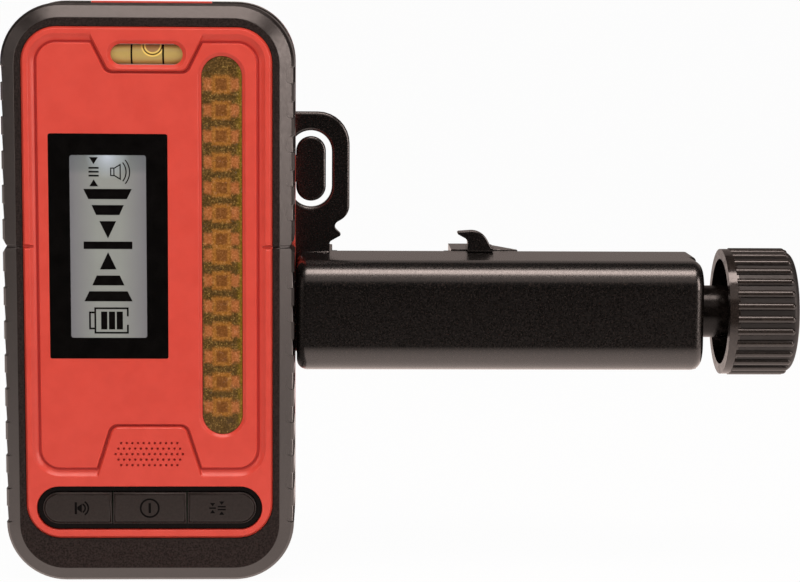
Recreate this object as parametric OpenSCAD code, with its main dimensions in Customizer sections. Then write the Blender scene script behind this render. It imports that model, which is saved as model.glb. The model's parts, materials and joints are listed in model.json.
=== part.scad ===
// Laser receiver with its staff clamp, in millimetres.
// X runs to the viewer's right, Y away from the viewer and Z up.
// The origin is the centre of the receiver's bottom face.

/* [Case] */
// Width over the rubber bumper
case_w = 82.6; // [76:0.2:95]
// Height over the rubber bumper
case_h = 166.2; // [150:0.2:190]
// Depth from the front rim to the rear wall
case_d = 34; // [33:0.5:40]
// Corner radius of the bumper seen from the front
case_r = 17; // [14:0.5:19]
// Depth from the front rim to the parting plane
front_depth = 20; // [18:0.5:21]
// Wall of both shells
wall = 2.5; // [2.2:0.1:3]
// Wall under the front panel
front_wall = 2.8; // [2.6:0.1:3.2]
// Inset of the rear shell from the bumper outline
rear_inset = 0; // [0:0.1:1]
// Rounding of the rear edge
rear_round = 3; // [1:0.5:4]

/* [Bumper] */
// Width of the bevel round the bumper face
bevel_w = 4.2; // [2.5:0.1:4.6]
// Depth of the bevel
bevel_d = 2; // [1.5:0.1:4]
// Width of the softer second bevel
brow_w = 0.8; // [0.4:0.1:1.2]
// Depth of the softer second bevel
brow_d = 1; // [0.6:0.1:4]
// How far the bumper face lies behind the panel rim
bumper_drop = 0.4; // [0:0.1:0.8]
// How far the bumper's top lies below the rear shell's
bumper_low = 0.6; // [0:0.1:1]
// Pitch of the grip notches
grip_pitch = 9.7; // [8:0.1:12]
// Length of one grip notch
grip_len = 4.6; // [3:0.2:6]
// Width of one grip notch seen from the front
grip_w = 2.2; // [1.6:0.1:2.4]
// Depth of one grip notch in the side
grip_depth = 0.5; // [0.3:0.1:1]
// Depth of one grip notch in the bevel
grip_sink = 0.7; // [0.4:0.1:1]
// Corner radius of one grip notch
grip_r = 1.2; // [0.4:0.1:1.4]
// Height of the sighting notch in the side
sight_h = 4; // [3:0.2:6]
// Depth of the sighting notch
sight_depth = 1.3; // [0.8:0.1:2]
// Width of the engraved sighting line
sight_line = 0.7; // [0.4:0.1:1.2]
// Depth of the engraved sighting line
sight_cut = 0.5; // [0.3:0.1:0.8]
// Length of each corner guard along the top and bottom
guard_x = 24; // [20:0.5:28]
// Length of each corner guard along the sides
guard_z = 44; // [30:1:55]
// Thickness of the corner guards
guard_t = 1.5; // [1:0.1:2]
// Depth of the corner guards behind the parting plane
guard_d = 9.4; // [6:0.2:10]

/* [Front panel] */
// Bumper beside the panel
panel_side = 6.1; // [5.5:0.1:7]
// Bumper above the panel
panel_top = 7.2; // [6:0.1:9]
// Bumper below the panel
panel_low = 13; // [10:0.1:15]
// Corner radius of the panel
panel_r = 10; // [8:0.5:12]
// Chamfer of the panel's edge
panel_edge = 0.6; // [0.3:0.1:1]
// Rim beside the inner field
field_side = 3.9; // [3:0.1:5]
// Rim above the inner field
field_top = 4; // [3.5:0.1:5]
// Rim below the inner field
field_low = 20; // [19:0.1:22]
// Corner radius of the field
field_r = 6; // [4:0.5:8]
// Width of the slope that leads down to the field's groove
field_slope = 2; // [1:0.1:2.4]
// Depth of the groove round the field
field_groove = 1; // [0.6:0.1:1.2]
// Width of the groove's floor
field_gap = 0.5; // [0.3:0.1:1]
// How far the field lies behind the rim
field_drop = 0.2; // [0:0.1:0.5]
// Corner radius of the two tabs
tab_r = 2.6; // [1:0.2:4]
// Width of the vial tab at its lower end
vial_tab_w = 21.8; // [21:0.2:24]
// Drop of the vial tab's end below the vial's axis
vial_tab_drop = 4.8; // [4.2:0.1:6]
// Side slope of the vial tab
vial_tab_slope = 0.5; // [0.2:0.05:0.8]
// Width of the speaker tab at its upper end
speaker_tab_w = 20.8; // [20:0.2:24]
// Height of the speaker tab
speaker_tab_h = 12.6; // [11:0.1:15]
// Side slope of the speaker tab
speaker_tab_slope = 0.32; // [0.1:0.02:0.6]

/* [Display] */
// Panel left of the display window
lcd_side = 7.4; // [6:0.1:9]
// Panel between the display window and the sensor strip
strip_gap = 9.7; // [8:0.1:12]
// How much shorter the display window is than the field
lcd_short = 58.2; // [50:0.1:64]
// Corner radius of the window
lcd_r = 0.5; // [0.3:0.1:2]
// Thickness of the window pane
pane_t = 1.5; // [1:0.1:1.6]
// Black border beside the display
display_side = 5.95; // [4:0.1:7]
// Black border above and below the display
display_end = 5.95; // [4:0.1:7]
// Thickness of the display module
display_t = 4; // [3.5:0.1:5]
// Border of the display module
display_border = 2.4; // [1.5:0.1:3]

/* [Sensor] */
// Width of the sensor window
sensor_w = 11.3; // [10.5:0.1:12]
// Panel right of the sensor window
strip_side = 8.6; // [8.4:0.1:10]
// Field below the sensor window
strip_low = 10.3; // [8:0.1:14]
// Field above the sensor window
strip_top = 4.1; // [3:0.1:6]
// Ledge that carries the window
ledge = 1; // [0.6:0.1:1.4]
// Width of the sloped edge round the sensor and vial openings
rim_w = 1; // [0.5:0.1:1.4]
// Depth of that sloped edge
rim_d = 0.6; // [0.3:0.1:0.8]
// Edge of one photodiode
diode_w = 3.1; // [2:0.1:4]
// Thickness of a photodiode
diode_t = 0.7; // [0.4:0.1:0.9]
// Photodiodes on each side of the grade line
diode_count = 7; // [3:1:7]
// Offset of the first photodiode from the grade line
diode_offset = 2.3; // [2.2:0.1:3]
// Free end of the photodiode row
diode_end = 0.6; // [0.4:0.1:2]
// Thickness of the sensor board
sensor_board_t = 1.6; // [1:0.1:2]

/* [Vial] */
// Length of the vial opening
vial_w = 20.2; // [16:0.2:21]
// Height of the vial opening
vial_h = 5.8; // [4.5:0.1:6.2]
// Vial's axis below the panel's upper edge
vial_top = 7.7; // [7.4:0.1:8]
// Outer radius of the vial
vial_r = 3.4; // [3.2:0.1:3.8]
// Wall of the vial
vial_wall = 0.6; // [0.4:0.1:0.9]
// Length of the vial
vial_len = 26; // [24:0.5:30]
// Length of each vial plug
vial_plug = 2; // [1:0.1:3]
// Radius of the bubble
bubble_r = 2; // [1.4:0.1:2.2]
// Length of the bubble between its round ends
bubble_len = 3.5; // [2:0.1:5]
// How far the vial lies behind the rim
vial_drop = 1.5; // [1.3:0.1:1.8]

/* [Keys] */
// Panel beside the key opening
keys_side = 3; // [2.8:0.1:5]
// Height of the key opening
keys_h = 12.6; // [11:0.1:12.8]
// Keys' centre line above the panel's lower edge
keys_low = 8.8; // [8.6:0.1:9.2]
// Black border round the keys
keys_border = 1.6; // [1.2:0.1:2]
// Share of the key row that the middle key takes
key_share = 0.34; // [0.3:0.01:0.4]
// Gap between two keys
key_gap = 0.7; // [0.5:0.1:1]
// How far the key frame lies behind the rim
frame_drop = 1.1; // [0.8:0.1:1.3]
// How far the keys lie behind the rim
key_drop = 0.1; // [0:0.1:0.4]
// Chamfer of the key tops
key_edge = 0.5; // [0.2:0.1:0.7]
// Height of the retaining flange past the key
key_flange = 0.6; // [0.5:0.05:0.7]
// Thickness of the retaining flange
key_flange_t = 1; // [0.8:0.1:1.2]
// Travel of a key
key_travel = 0.8; // [0.5:0.1:0.8]
// Edge of a key switch
switch_w = 6; // [5:0.1:7]

/* [Speaker] */
// Pitch of the grille holes
hole_pitch = 1.6; // [1.4:0.05:1.65]
// Diameter of one grille hole
hole_d = 0.7; // [0.5:0.05:0.9]
// Holes in the longest grille row
hole_count = 13; // [9:2:13]
// Rows of holes on each side of the longest row
hole_rows = 2; // [1:1:2]
// Grille's centre above the field's lower edge
speaker_low = 4.6; // [4.4:0.1:5]
// Radius of the speaker
speaker_r = 9.2; // [8:0.1:9.4]
// Thickness of the speaker
speaker_t = 3.8; // [3:0.1:3.9]

/* [Boards and screws] */
// Thickness of the main board
board_t = 1.6; // [1.2:0.1:2]
// Gap between the main board and the shell wall
board_gap = 0.5; // [0.3:0.1:0.8]
// Shell screws from the panel's side
screw_side = 5.2; // [5.1:0.1:5.4]
// Lower shell screws above the panel's lower edge
screw_low = 23; // [22:0.5:29]
// Upper shell screws below the panel's upper edge
screw_high = 7; // [6.5:0.5:9]
// Radius of the shell screws
screw_r = 1.2; // [1:0.1:1.4]
// Radius of the shell screw heads
screw_head_r = 2.3; // [2.1:0.1:2.5]
// Height of the shell screw heads
screw_head_h = 2; // [1.5:0.1:2.2]
// Wall round a shell screw
boss_wall = 1.3; // [1:0.1:1.5]
// Thread length of the shell screws in the front shell
screw_bite = 9; // [6:0.5:10]

/* [Battery bay] */
// Radius of a battery cell
cell_r = 7.15; // [7:0.05:7.25]
// Length of a battery cell without its button
cell_len = 49.2; // [48:0.1:50]
// Height of the cell's button
cell_nub = 1.2; // [0.8:0.1:1.6]
// Radius of the cell's button
cell_nub_r = 2.7; // [2:0.1:3]
// Clearance round the cells
cell_gap = 0.4; // [0.2:0.1:0.6]
// Thickness of a contact leaf
contact_t = 0.5; // [0.3:0.1:0.8]
// Width of a contact leaf
leaf_w = 8.6; // [6:0.1:12]
// Room for the contacts at each end of a cell
contact_room = 1.9; // [1.5:0.1:2.4]
// Bay's floor above the panel's lower edge
bay_low = 5.5; // [5.4:0.1:9]
// Wall of the battery bay
bay_wall = 1.4; // [1:0.1:2]
// Width of the ledge that carries the door
door_ledge = 3.6; // [2.6:0.1:5]
// Thickness of the battery door
door_t = 2.2; // [1.8:0.1:2.3]
// Radius of the door's hinge barrel
barrel_r = 1.5; // [1.3:0.05:1.6]
// Radius of the door's hinge pin
pin_r = 0.75; // [0.6:0.05:0.9]
// Length of the hinge pin held on each side
pin_grip = 2.8; // [2:0.1:4]
// Radius of the finger notch above the door
notch_r = 6; // [4:0.5:8]

/* [Rear shoe] */
// Width of the mounting shoe at its foot
shoe_w = 16; // [14:0.5:17]
// Overhang of the dovetail on each side
shoe_flare = 2.2; // [1.5:0.1:2.2]
// Height of the shoe off the rear wall
shoe_t = 2.3; // [1.8:0.1:2.4]
// Shoe's lower end above the grade line
shoe_rise = 3.9; // [3.4:0.1:5]
// Length of the shoe
shoe_h = 31; // [28:0.5:31]

/* [Clamp body] */
// Gap between the receiver's side and the clamp body
tube_gap = 0.6; // [0.4:0.1:2]
// Length of the clamp body
tube_len = 118.3; // [110:0.1:130]
// Height of the clamp body
tube_h = 32.2; // [30:0.1:34]
// Depth of the clamp body
tube_d = 34; // [33:0.5:37]
// How far the clamp body's face lies behind the panel rim
tube_back = 8; // [7:0.5:10]
// Screw's axis below the grade line
axis_drop = 21.25; // [21:0.05:23]
// Long edge radius of the clamp body
tube_r = 8; // [4:0.5:8.5]
// End edge radius of the clamp body
tube_end_r = 3; // [2:0.1:3.4]
// Edge radius of the clamp body's rear half
tube_back_r = 1.5; // [0.8:0.1:3]
// Wall of the clamp body
tube_wall = 3.5; // [3:0.1:3.8]
// End wall of the clamp body
tube_end = 5; // [4:0.1:6]
// Thickness of the end plug
plug_t = 6; // [5:0.1:8]
// Height of the slot for the jaw's neck
slot_h = 14; // [12:0.5:15]

/* [Bracket plate] */
// Gap between the receiver's rear wall and the plate
plate_gap = 2.5; // [2.5:0.1:3]
// Thickness of the plate
plate_t = 4; // [4:0.1:5]
// Left end of the plate from the receiver's middle
plate_left = 18; // [16:0.5:22]
// Right edge of the plate past the clamp body's left end
plate_reach = 15.4; // [15:0.1:17]
// Upper edge of the plate above the shoe
plate_over = 1.9; // [1:0.1:4]
// Lower edge of the plate above the grade line
plate_foot = 2.4; // [1.4:0.1:2.9]
// Upper right corner radius
plate_r = 9.5; // [6:0.5:11]
// Corner radius of the plate behind the receiver
plate_corner = 6; // [3:0.5:8]
// Corner radius between the plate and the reading notch
plate_hip = 5; // [3:0.5:6]
// Fall of the plate's lower right corner above the grade line
hip_rise = 6; // [5:0.1:7]
// Width of the plate's web beside the clamp body
web_w = 8; // [5:0.5:12]
// Lower edge of the web above the clamp body's underside
web_rise = 2; // [1:0.1:6]
// Corner radius of the web
web_r = 2; // [1:0.1:3]
// Right side of the neck past the clamp body's left end
neck_reach = 9.5; // [9:0.1:10]
// Fillet between the neck and the plate
neck_fillet = 3; // [1:0.1:4]
// Tip of the reading spike past the clamp body's left end
spike_reach = 13.1; // [12.4:0.1:14]
// Height of the spike below its tip
spike_low = 2; // [1.5:0.1:3]
// Height of the notch above the spike's tip
spike_high = 2.9; // [2.6:0.1:3.4]
// Rounding of the spike's tip
spike_r = 0.5; // [0.3:0.05:0.6]
// Rounding of the notch above the spike
beak_r = 1.6; // [1:0.1:1.8]
// Width of the oval finger hole
hole_w = 12.5; // [12.2:0.1:12.8]
// Height of the oval finger hole
hole_h = 22.9; // [22:0.1:24]
// Centre of the oval hole past the clamp body's left end
hole_reach = 3.85; // [3.6:0.05:4.1]
// Centre of the oval hole above the shoe's middle
hole_lift = 0.4; // [0.1:0.1:0.8]
// Clearance in the dovetail
shoe_gap = 0.2; // [0.1:0.05:0.3]
// Width of each dovetail rail
rail_w = 5; // [4:0.1:6]

/* [Release lever] */
// Width of the lever's paddle
paddle_w = 8.9; // [8:0.1:9]
// Height of the lever's paddle
paddle_h = 19.3; // [17:0.1:19.5]
// Height of the lever's arm
arm_h = 8; // [6:0.1:9]
// Thickness of the lever
lever_t = 3; // [2.4:0.1:3]
// Pivot of the lever behind the clamp body's left end
lever_back = 11.9; // [11:0.1:14]
// Radius of the lever's pin
lever_pin_r = 1.25; // [1:0.05:1.3]
// Length of the pin held above and below the lever
lever_pin_grip = 5; // [3:0.5:6]
// Width of the lever's nose
nose_w = 2.2; // [1.6:0.1:2.4]
// Clearance round the lever
lever_gap = 1; // [0.8:0.1:1.2]
// Wire of the lever's coil spring
wire_d = 0.6; // [0.4:0.05:0.7]
// How closely the coil's turns nest
wire_nest = 0.06; // [0.04:0.01:0.1]
// Turns of the lever's coil spring
wire_turns = 4; // [3:1:5]

/* [Jaws] */
// Reach of both jaws behind the clamp body
jaw_reach = 18; // [14:0.5:22]
// How much lower both jaws are than the clamp body
jaw_short = 3.2; // [2:0.1:6]
// Clamping face of the fixed jaw past the clamp body's left end
jaw_fixed_reach = 10.3; // [9.6:0.1:11]
// Distance between the jaws as stored
jaw_open = 36; // [35:0.5:40]
// Width of the moving jaw at its root
jaw_root = 20.3; // [19.6:0.1:21]
// Width of the moving jaw at its end
jaw_tip = 11.3; // [10:0.1:14]
// Thickness of the jaw pads
pad_t = 1.5; // [1:0.1:2]
// Border of the jaw round its pad
pad_border = 1.6; // [1:0.1:3]
// Grooves across a jaw pad
pad_grooves = 5; // [2:1:6]
// Gap left between the pads when closed
closed_gap = 5; // [2:0.5:10]
// Room left behind the carriage when fully open
open_room = 4.95; // [2:0.05:10]
// Length of the carriage inside the clamp body
carriage_len = 24; // [22:0.5:25]
// Radius of the brass nut
nut_r = 8; // [7:0.1:8.5]
// Length of the brass nut
nut_len = 16; // [12:0.5:18]
// Radius of the jaw bolts
bolt_r = 1.75; // [1.5:0.05:2]
// Radius of the jaw bolt heads
bolt_head_r = 3; // [2.6:0.1:3]
// Radius of the socket in a jaw bolt's head
bolt_socket_r = 1.4; // [1:0.1:1.7]
// Spacing of the two jaw bolts
bolt_pitch = 6.8; // [6.4:0.1:7]
// Thickness of the reading fin
fin_t = 4; // [3:0.1:5]
// Height of the reading fin above the clamp body
fin_h = 6.5; // [5:0.1:8]
// Width of the fin's foot
fin_w = 7.8; // [7:0.1:9]
// Overhang of the fin's tip towards the staff before it is rounded
fin_tip = 4.3; // [3:0.1:5]
// Rounding of the fin's tip
fin_tip_r = 0.5; // [0.3:0.05:0.6]
// Fall of the fin's crown towards its tip
fin_fall = 0.6; // [0.1:0.1:0.8]
// Lean of the fin's back over its height
fin_lean = 3.4; // [2.5:0.1:3.8]
// Rounding between the fin's crown and its back
fin_back_r = 5.4; // [1:0.1:5.8]
// Height of the fin's throat
fin_throat = 3.6; // [3:0.1:4]
// Rounding of the fin's throat
fin_throat_r = 1.6; // [0.8:0.1:2]
// Fin's foot from the jaw's clamping face
fin_side = 4.6; // [3.2:0.1:5]
// Fin's rear face in front of the clamp body's rear wall
fin_set = 2; // [1:0.1:4]
// Thickness of the bridge under the fin
bridge_t = 1.2; // [1:0.1:1.6]

/* [Screw and knob] */
// Radius of the lead screw
lead_r = 5; // [4.5:0.1:5.5]
// Radius of the screw's end journal
journal_r = 3.5; // [3:0.1:4]
// Wall of the screw bush
bush_wall = 2; // [1.5:0.1:2.2]
// Flange of the screw bush past its barrel
bush_flange = 2; // [1:0.1:2.2]
// Thickness of the bush flange
flange_t = 1.4; // [1:0.1:2]
// Thickness of the retaining clip
clip_t = 1.2; // [0.8:0.1:1.5]
// Radius of the knob's hub
hub_r = 7.7; // [7:0.1:8.5]
// Gap between the clamp body and the knob's rim
knob_gap = 7.1; // [5:0.1:9]
// Length of the knob
knob_len = 20.7; // [18:0.1:26]
// Outer radius of the knob
knob_r = 18.8; // [16:0.1:21]
// Wall of the knob's rim
knob_wall = 3.2; // [2.6:0.1:4]
// Depth of the knob's hollow
knob_hollow = 14; // [10:0.5:15]
// Ribs round the knob
rib_count = 30; // [18:2:36]
// Radius of one rib
rib_r = 1.15; // [0.8:0.05:1.3]
// How far the ribs stand out
rib_out = 1; // [0.5:0.05:1.1]
// Width of the smooth ring at the rim
rim_ring = 2.4; // [1.5:0.1:3.5]
// Width of the smooth band at the knob's end
end_band = 1.4; // [1.3:0.1:2.5]
// Rounding of the knob's end
end_r = 2; // [1:0.1:2.1]
// Radius of the knob's cross pin
cross_r = 1.25; // [1:0.05:1.5]

/* [Clearances] */
// Gap between seated pieces
seat = 0.05; // [0.02:0.01:0.1]
// Gap between sliding pieces
slip = 0.3; // [0.2:0.05:0.4]
// Radial clearance of turning pieces
running = 0.05; // [0.02:0.01:0.09]

/* [Hidden] */
$fn = 48;
arc_steps = 8;
past = 1;
y_front = -case_d / 2;
y_back = case_d / 2;
y_part = y_front + front_depth;
y_inner = y_front + front_wall;
y_rear_inner = y_back - wall;
y_bumper = y_front + bumper_drop;
y_field = y_front + field_drop;
y_groove = y_front + field_groove;
case_cz = case_h / 2;
bumper_h = case_h - bumper_low;
panel_w = case_w - 2 * panel_side;
panel_h = case_h - panel_low - panel_top;
panel_z1 = panel_low + panel_h;
panel_cz = panel_low + panel_h / 2;
field_w = panel_w - 2 * field_side;
field_h = panel_h - field_low - field_top;
field_z = panel_low + field_low;
field_cz = field_z + field_h / 2;
cavity_w = panel_w - 2 * wall;
cavity_h = panel_h - 2 * wall;
rear_w = case_w - 2 * rear_inset;
rear_h = case_h - 2 * rear_inset;
rear_r = case_r - rear_inset;
sensor_h = field_h - strip_low - strip_top;
sensor_x = panel_w / 2 - strip_side - sensor_w / 2;
grade_z = field_z + strip_low + sensor_h / 2;
diode_pitch = (sensor_h / 2 - diode_offset - diode_end) / diode_count;
grips_up = floor((case_h - case_r - grade_z) / grip_pitch);
grips_down = floor((grade_z - case_r) / grip_pitch);
lcd_w = panel_w - lcd_side - strip_gap - sensor_w - strip_side;
lcd_h = field_h - lcd_short;
lcd_x = -panel_w / 2 + lcd_side + lcd_w / 2;
display_w = lcd_w - 2 * display_side;
display_h = lcd_h - 2 * display_end;
y_pane = y_field + seat;
y_pane_back = y_pane + pane_t;
module_w = display_w + 2 * display_border;
module_h = display_h + 2 * display_border;
y_board = y_inner + display_t;
y_board_back = y_board + board_t;
vial_y = y_front + vial_drop + vial_r;
vial_z = panel_z1 - vial_top;
vial_tab_z = vial_z - vial_tab_drop;
speaker_tab_z = field_z + speaker_tab_h;
speaker_z = field_z + speaker_low;
keys_w = panel_w - 2 * keys_side;
keys_z = panel_low + keys_low;
y_frame = y_front + frame_drop;
y_key = y_front + key_drop;
frame_in_w = keys_w - 2 * keys_border;
frame_in_h = keys_h - 2 * keys_border;
key_w = frame_in_w - 2 * slip;
key_h = frame_in_h - 2 * slip;
key_mid_w = key_w * key_share;
y_flange = y_inner + slip;
y_flange_back = y_flange + key_flange_t;
y_switch = y_flange_back + key_travel + seat;
screw_x = panel_w / 2 - screw_side;
screw_z_low = panel_low + screw_low;
screw_z_high = panel_z1 - screw_high;
y_screw_head = y_back - screw_head_h;
y_screw_tip = y_part - screw_bite;
boss_r = screw_r + boss_wall;
cell_pitch = 2 * cell_r + cell_gap;
bay_w = cell_pitch + 2 * cell_r + 2 * cell_gap;
bay_h = cell_len + cell_nub + 2 * contact_room;
bay_z = panel_low + bay_low;
bay_cz = bay_z + bay_h / 2;
cell_y = y_rear_inner - cell_gap - cell_r;
y_bay = cell_y - cell_r - cell_gap;
y_door = y_back - door_t;
door_w = bay_w + 2 * door_ledge - 2 * slip;
door_z1 = bay_z + bay_h + door_ledge;
hinge_z = bay_z - slip - barrel_r + seat;
hinge_y = y_back - barrel_r - seat;
y_shoe = y_back + shoe_t;
shoe_z = grade_z + shoe_rise;
tube_x0 = case_w / 2 + tube_gap;
tube_x1 = tube_x0 + tube_len;
tube_y0 = y_front + tube_back;
tube_y1 = tube_y0 + tube_d;
axis_y = tube_y0 + tube_d / 2;
axis_z = grade_z - axis_drop;
tube_z0 = axis_z - tube_h / 2;
tube_z1 = axis_z + tube_h / 2;
bore_w = tube_d - 2 * tube_wall;
bore_h = tube_h - 2 * tube_wall;
bore_x0 = tube_x0 + tube_end;
plug_x0 = tube_x1 - plug_t;
y_plate = y_back + plate_gap;
y_plate_back = y_plate + plate_t;
plate_x1 = tube_x0 + plate_reach;
plate_z0 = grade_z + plate_foot;
plate_z1 = shoe_z + shoe_h + plate_over;
web_x0 = tube_x0 - web_w;
web_z0 = tube_z0 + web_rise;
neck_x0 = tube_x0 + tube_end_r;
neck_x1 = tube_x0 + neck_reach;
neck_z0 = axis_z + bore_h / 2 + past;
hole_x = tube_x0 + hole_reach;
hole_z = shoe_z + shoe_h / 2 + hole_lift;
lever_x = tube_x0 - lever_back;
lever_y = y_plate + plate_t / 2;
nose_x0 = shoe_w / 2 + 2 * slip;
slot_x0 = nose_x0 - lever_gap / 2;
arm_slot_h = arm_h + 2 * lever_gap;
arm_z0 = hole_z - arm_h / 2;
wire_pitch = wire_d - wire_nest;
coil_r = lever_pin_r + running + wire_d / 2;
coil_h = wire_pitch * (wire_turns - 1) + wire_d;
bush_r = lead_r + running + bush_wall;
flange_x0 = plug_x0 - flange_t;
clip_x0 = flange_x0 - slip - clip_t;
jaw_h = tube_h - jaw_short;
jaw_y0 = tube_y1 + slip;
jaw_y1 = tube_y1 + jaw_reach;
jaw_z0 = tube_z1 - jaw_h;
jaw_fixed_x = tube_x0 + jaw_fixed_reach;
jaw_x = jaw_fixed_x + jaw_open;
jaw_cx = jaw_x + jaw_root / 2;
pad_h = jaw_h - 2 * pad_border;
pad_d = jaw_reach - slip - 2 * pad_border;
pad_cy = (jaw_y0 + jaw_y1) / 2;
pad_cz = tube_z1 - jaw_h / 2;
neck_len = jaw_root - 2 * slip;
travel_close = jaw_open - 2 * pad_t - closed_gap;
travel_open = clip_x0 - jaw_cx - carriage_len / 2 - open_room;
slot_x1 = jaw_x - travel_close - slip;
slot_x2 = jaw_x + jaw_root + travel_open + slip;
bolt_x = jaw_x + jaw_tip / 2;
bolt_tip_y = axis_y + nut_r + past;
fin_x0 = jaw_x + fin_side;
fin_y0 = tube_y1 - fin_set - fin_t;
fin_z0 = tube_z1 + slip;
hub_x0 = tube_x1 + slip;
knob_x0 = tube_x1 + knob_gap;
knob_x1 = knob_x0 + knob_len;
rib_center = knob_r - rib_r;
knob_body_r = knob_r - rib_out;
cross_x = knob_x0 + knob_hollow / 2;

// Unit vector along v
function unit(v) = v / norm(v);

// Arc of radius r that rounds corner b between its neighbours a and c
function fillet(a, b, c, r) =
  r == 0 ? [b] :
  let (
    u = unit(a - b),
    v = unit(c - b),
    half = acos(u * v) / 2,
    m = b + unit(u + v) * r / sin(half),
    p = b + u * r / tan(half) - m,
    q = b + v * r / tan(half) - m,
    start = atan2(p[1], p[0]),
    turn = atan2(p[0] * q[1] - p[1] * q[0], p * q)
  )
  [
    for (i = [0 : arc_steps])
      let (a = start + turn * i / arc_steps)
        m + r * [cos(a), sin(a)]
  ];

// Flat position of an outline point given as [x, y, corner radius]
function flat(p) = [p[0], p[1]];

// Outline whose corners, given as [x, y, radius], are rounded
module rounded_outline(points) {
  n = len(points);
  polygon([
    for (i = [0 : n - 1])
      each fillet(flat(points[(i + n - 1) % n]), flat(points[i]), flat(points[(i + 1) % n]), points[i][2])
  ]);
}

// Rectangle with round corners, centred on the origin
module rounded_rect(w, h, r) {
  square([w - 2 * r, h], center = true);
  square([w, h - 2 * r], center = true);
  for (sx = [-1, 1], sy = [-1, 1])
    translate([sx * (w / 2 - r), sy * (h / 2 - r)])
      circle(r);
}

// Slot outline with round ends, centred on the origin
module pill(w, h) {
  r = min(w, h) / 2;
  square(w > h ? [w - 2 * r, h] : [w, h - 2 * r], center = true);
  for (s = [-1, 1])
    translate([s * (w / 2 - r), s * (h / 2 - r)])
      circle(r);
}

// Stretches an outline in the front view from y0 back to y1
module along_y(y0, y1) {
  translate([0, y1, 0])
    rotate([90, 0, 0])
      linear_extrude(y1 - y0)
        children();
}

// Stretches an outline in the side view from x0 to x1
module along_x(x0, x1) {
  translate([x0, 0, 0])
    rotate([90, 0, 90])
      linear_extrude(x1 - x0)
        children();
}

// Round bar from x0 to x1 about the screw's axis
module axis_bar(r, x0, x1) {
  translate([x0, axis_y, axis_z])
    rotate([0, 90, 0])
      cylinder(r = r, h = x1 - x0);
}

// Round bar along Y
module y_bar(r, y0, y1) {
  translate([0, y0, 0])
    rotate([-90, 0, 0])
      cylinder(r = r, h = y1 - y0);
}

// Slab in the front view whose rim follows the edge section given as its child.
// The section runs from 0 at the corner's centre to r at the outer face, and from y0 to y1.
module edged_slab(w, h, r, y0, y1) {
  core_w = w - 2 * r;
  core_h = h - 2 * r;
  translate([-core_w / 2, y0, -core_h / 2])
    cube([core_w, y1 - y0, core_h]);
  for (s = [0, 1])
    mirror([s, 0, 0])
      translate([core_w / 2, 0, -core_h / 2])
        linear_extrude(core_h)
          children();
  for (s = [0, 1])
    mirror([0, 0, s])
      translate([core_w / 2, 0, core_h / 2])
        rotate([0, -90, 0])
          linear_extrude(core_w)
            children();
  for (sx = [0, 1], sz = [0, 1])
    mirror([sx, 0, 0])
      mirror([0, 0, sz])
        translate([core_w / 2, 0, core_h / 2])
          rotate([-90, 0, 0])
            rotate([0, 0, -90])
              rotate_extrude(angle = 90)
                children();
}

// Edge section with a chamfer at its front
module chamfer_section(r, y0, y1, c) {
  polygon([[0, y0], [r - c, y0], [r, y0 + c], [r, y1], [0, y1]]);
}

// Edge section with a rounded back edge
module round_back_section(r, y0, y1, c) {
  translate([0, y0])
    square([r - c, y1 - y0]);
  translate([0, y0])
    square([r, y1 - y0 - c]);
  translate([r - c, y1 - c])
    circle(c);
}

// Edge section of the bumper with its two bevels
module bumper_section(r) {
  polygon([
    [0, y_bumper],
    [r - bevel_w, y_bumper],
    [r - brow_w, y_bumper + bevel_d],
    [r, y_bumper + bevel_d + brow_d],
    [r, y_part],
    [0, y_part]
  ]);
}

// Upright round-ended cut whose sides slope in from the face at y0
module sloped_pill(w, h, y0) {
  r = w / 2;
  r0 = r + rim_w + seat * rim_w / rim_d;
  for (s = [-1, 1])
    translate([0, y0 - seat, s * (h / 2 - r)])
      rotate([-90, 0, 0])
        cylinder(r1 = r0, r2 = r, h = rim_d + seat);
  translate([0, 0, r - h / 2])
    linear_extrude(h - 2 * r)
      polygon([[-r0, y0 - seat], [r0, y0 - seat], [r, y0 + rim_d], [-r, y0 + rim_d]]);
}

// Tab outline that widens from its round end at z_end to z_far
module tab(w, z_end, z_far, slope) {
  far = w / 2 + slope * abs(z_far - z_end);
  rounded_outline([[-w / 2, z_end, tab_r], [w / 2, z_end, tab_r], [far, z_far, 0], [-far, z_far, 0]]);
}

// Outlines of the two tabs, grown by a margin
module tabs(margin) {
  tab(vial_tab_w + 2 * margin, vial_tab_z - margin, field_z + field_h + field_slope + past, vial_tab_slope);
  tab(speaker_tab_w + 2 * margin, speaker_tab_z + margin, field_z - field_slope - past, speaker_tab_slope);
}

// Sloped recess round the field, without the tabs
module field_pocket() {
  r = field_r + field_slope;
  difference() {
    translate([0, 0, field_cz])
      edged_slab(field_w + 2 * field_slope, field_h + 2 * field_slope, r, y_front - past, y_groove)
        polygon([
          [0, y_front - past],
          [r, y_front - past],
          [r, y_front],
          [field_r, y_groove],
          [0, y_groove]
        ]);
    along_y(y_front - 2 * past, y_front + 2 * field_groove)
      tabs(0);
  }
}

// Raised field inside the groove
module field_plateau() {
  along_y(y_field, y_groove + seat)
    difference() {
      translate([0, field_cz])
        rounded_rect(field_w - 2 * field_gap, field_h - 2 * field_gap, field_r - field_gap);
      tabs(field_gap);
    }
}

// Holes of the speaker grille, as a staggered pattern
module grille_holes() {
  for (row = [-hole_rows : hole_rows]) {
    count = hole_count - abs(row);
    for (i = [0 : count - 1])
      translate([(i - (count - 1) / 2) * hole_pitch, 0, speaker_z + row * hole_pitch])
        y_bar(hole_d / 2, y_front - past, y_inner + past, $fn = 16);
  }
}

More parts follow.
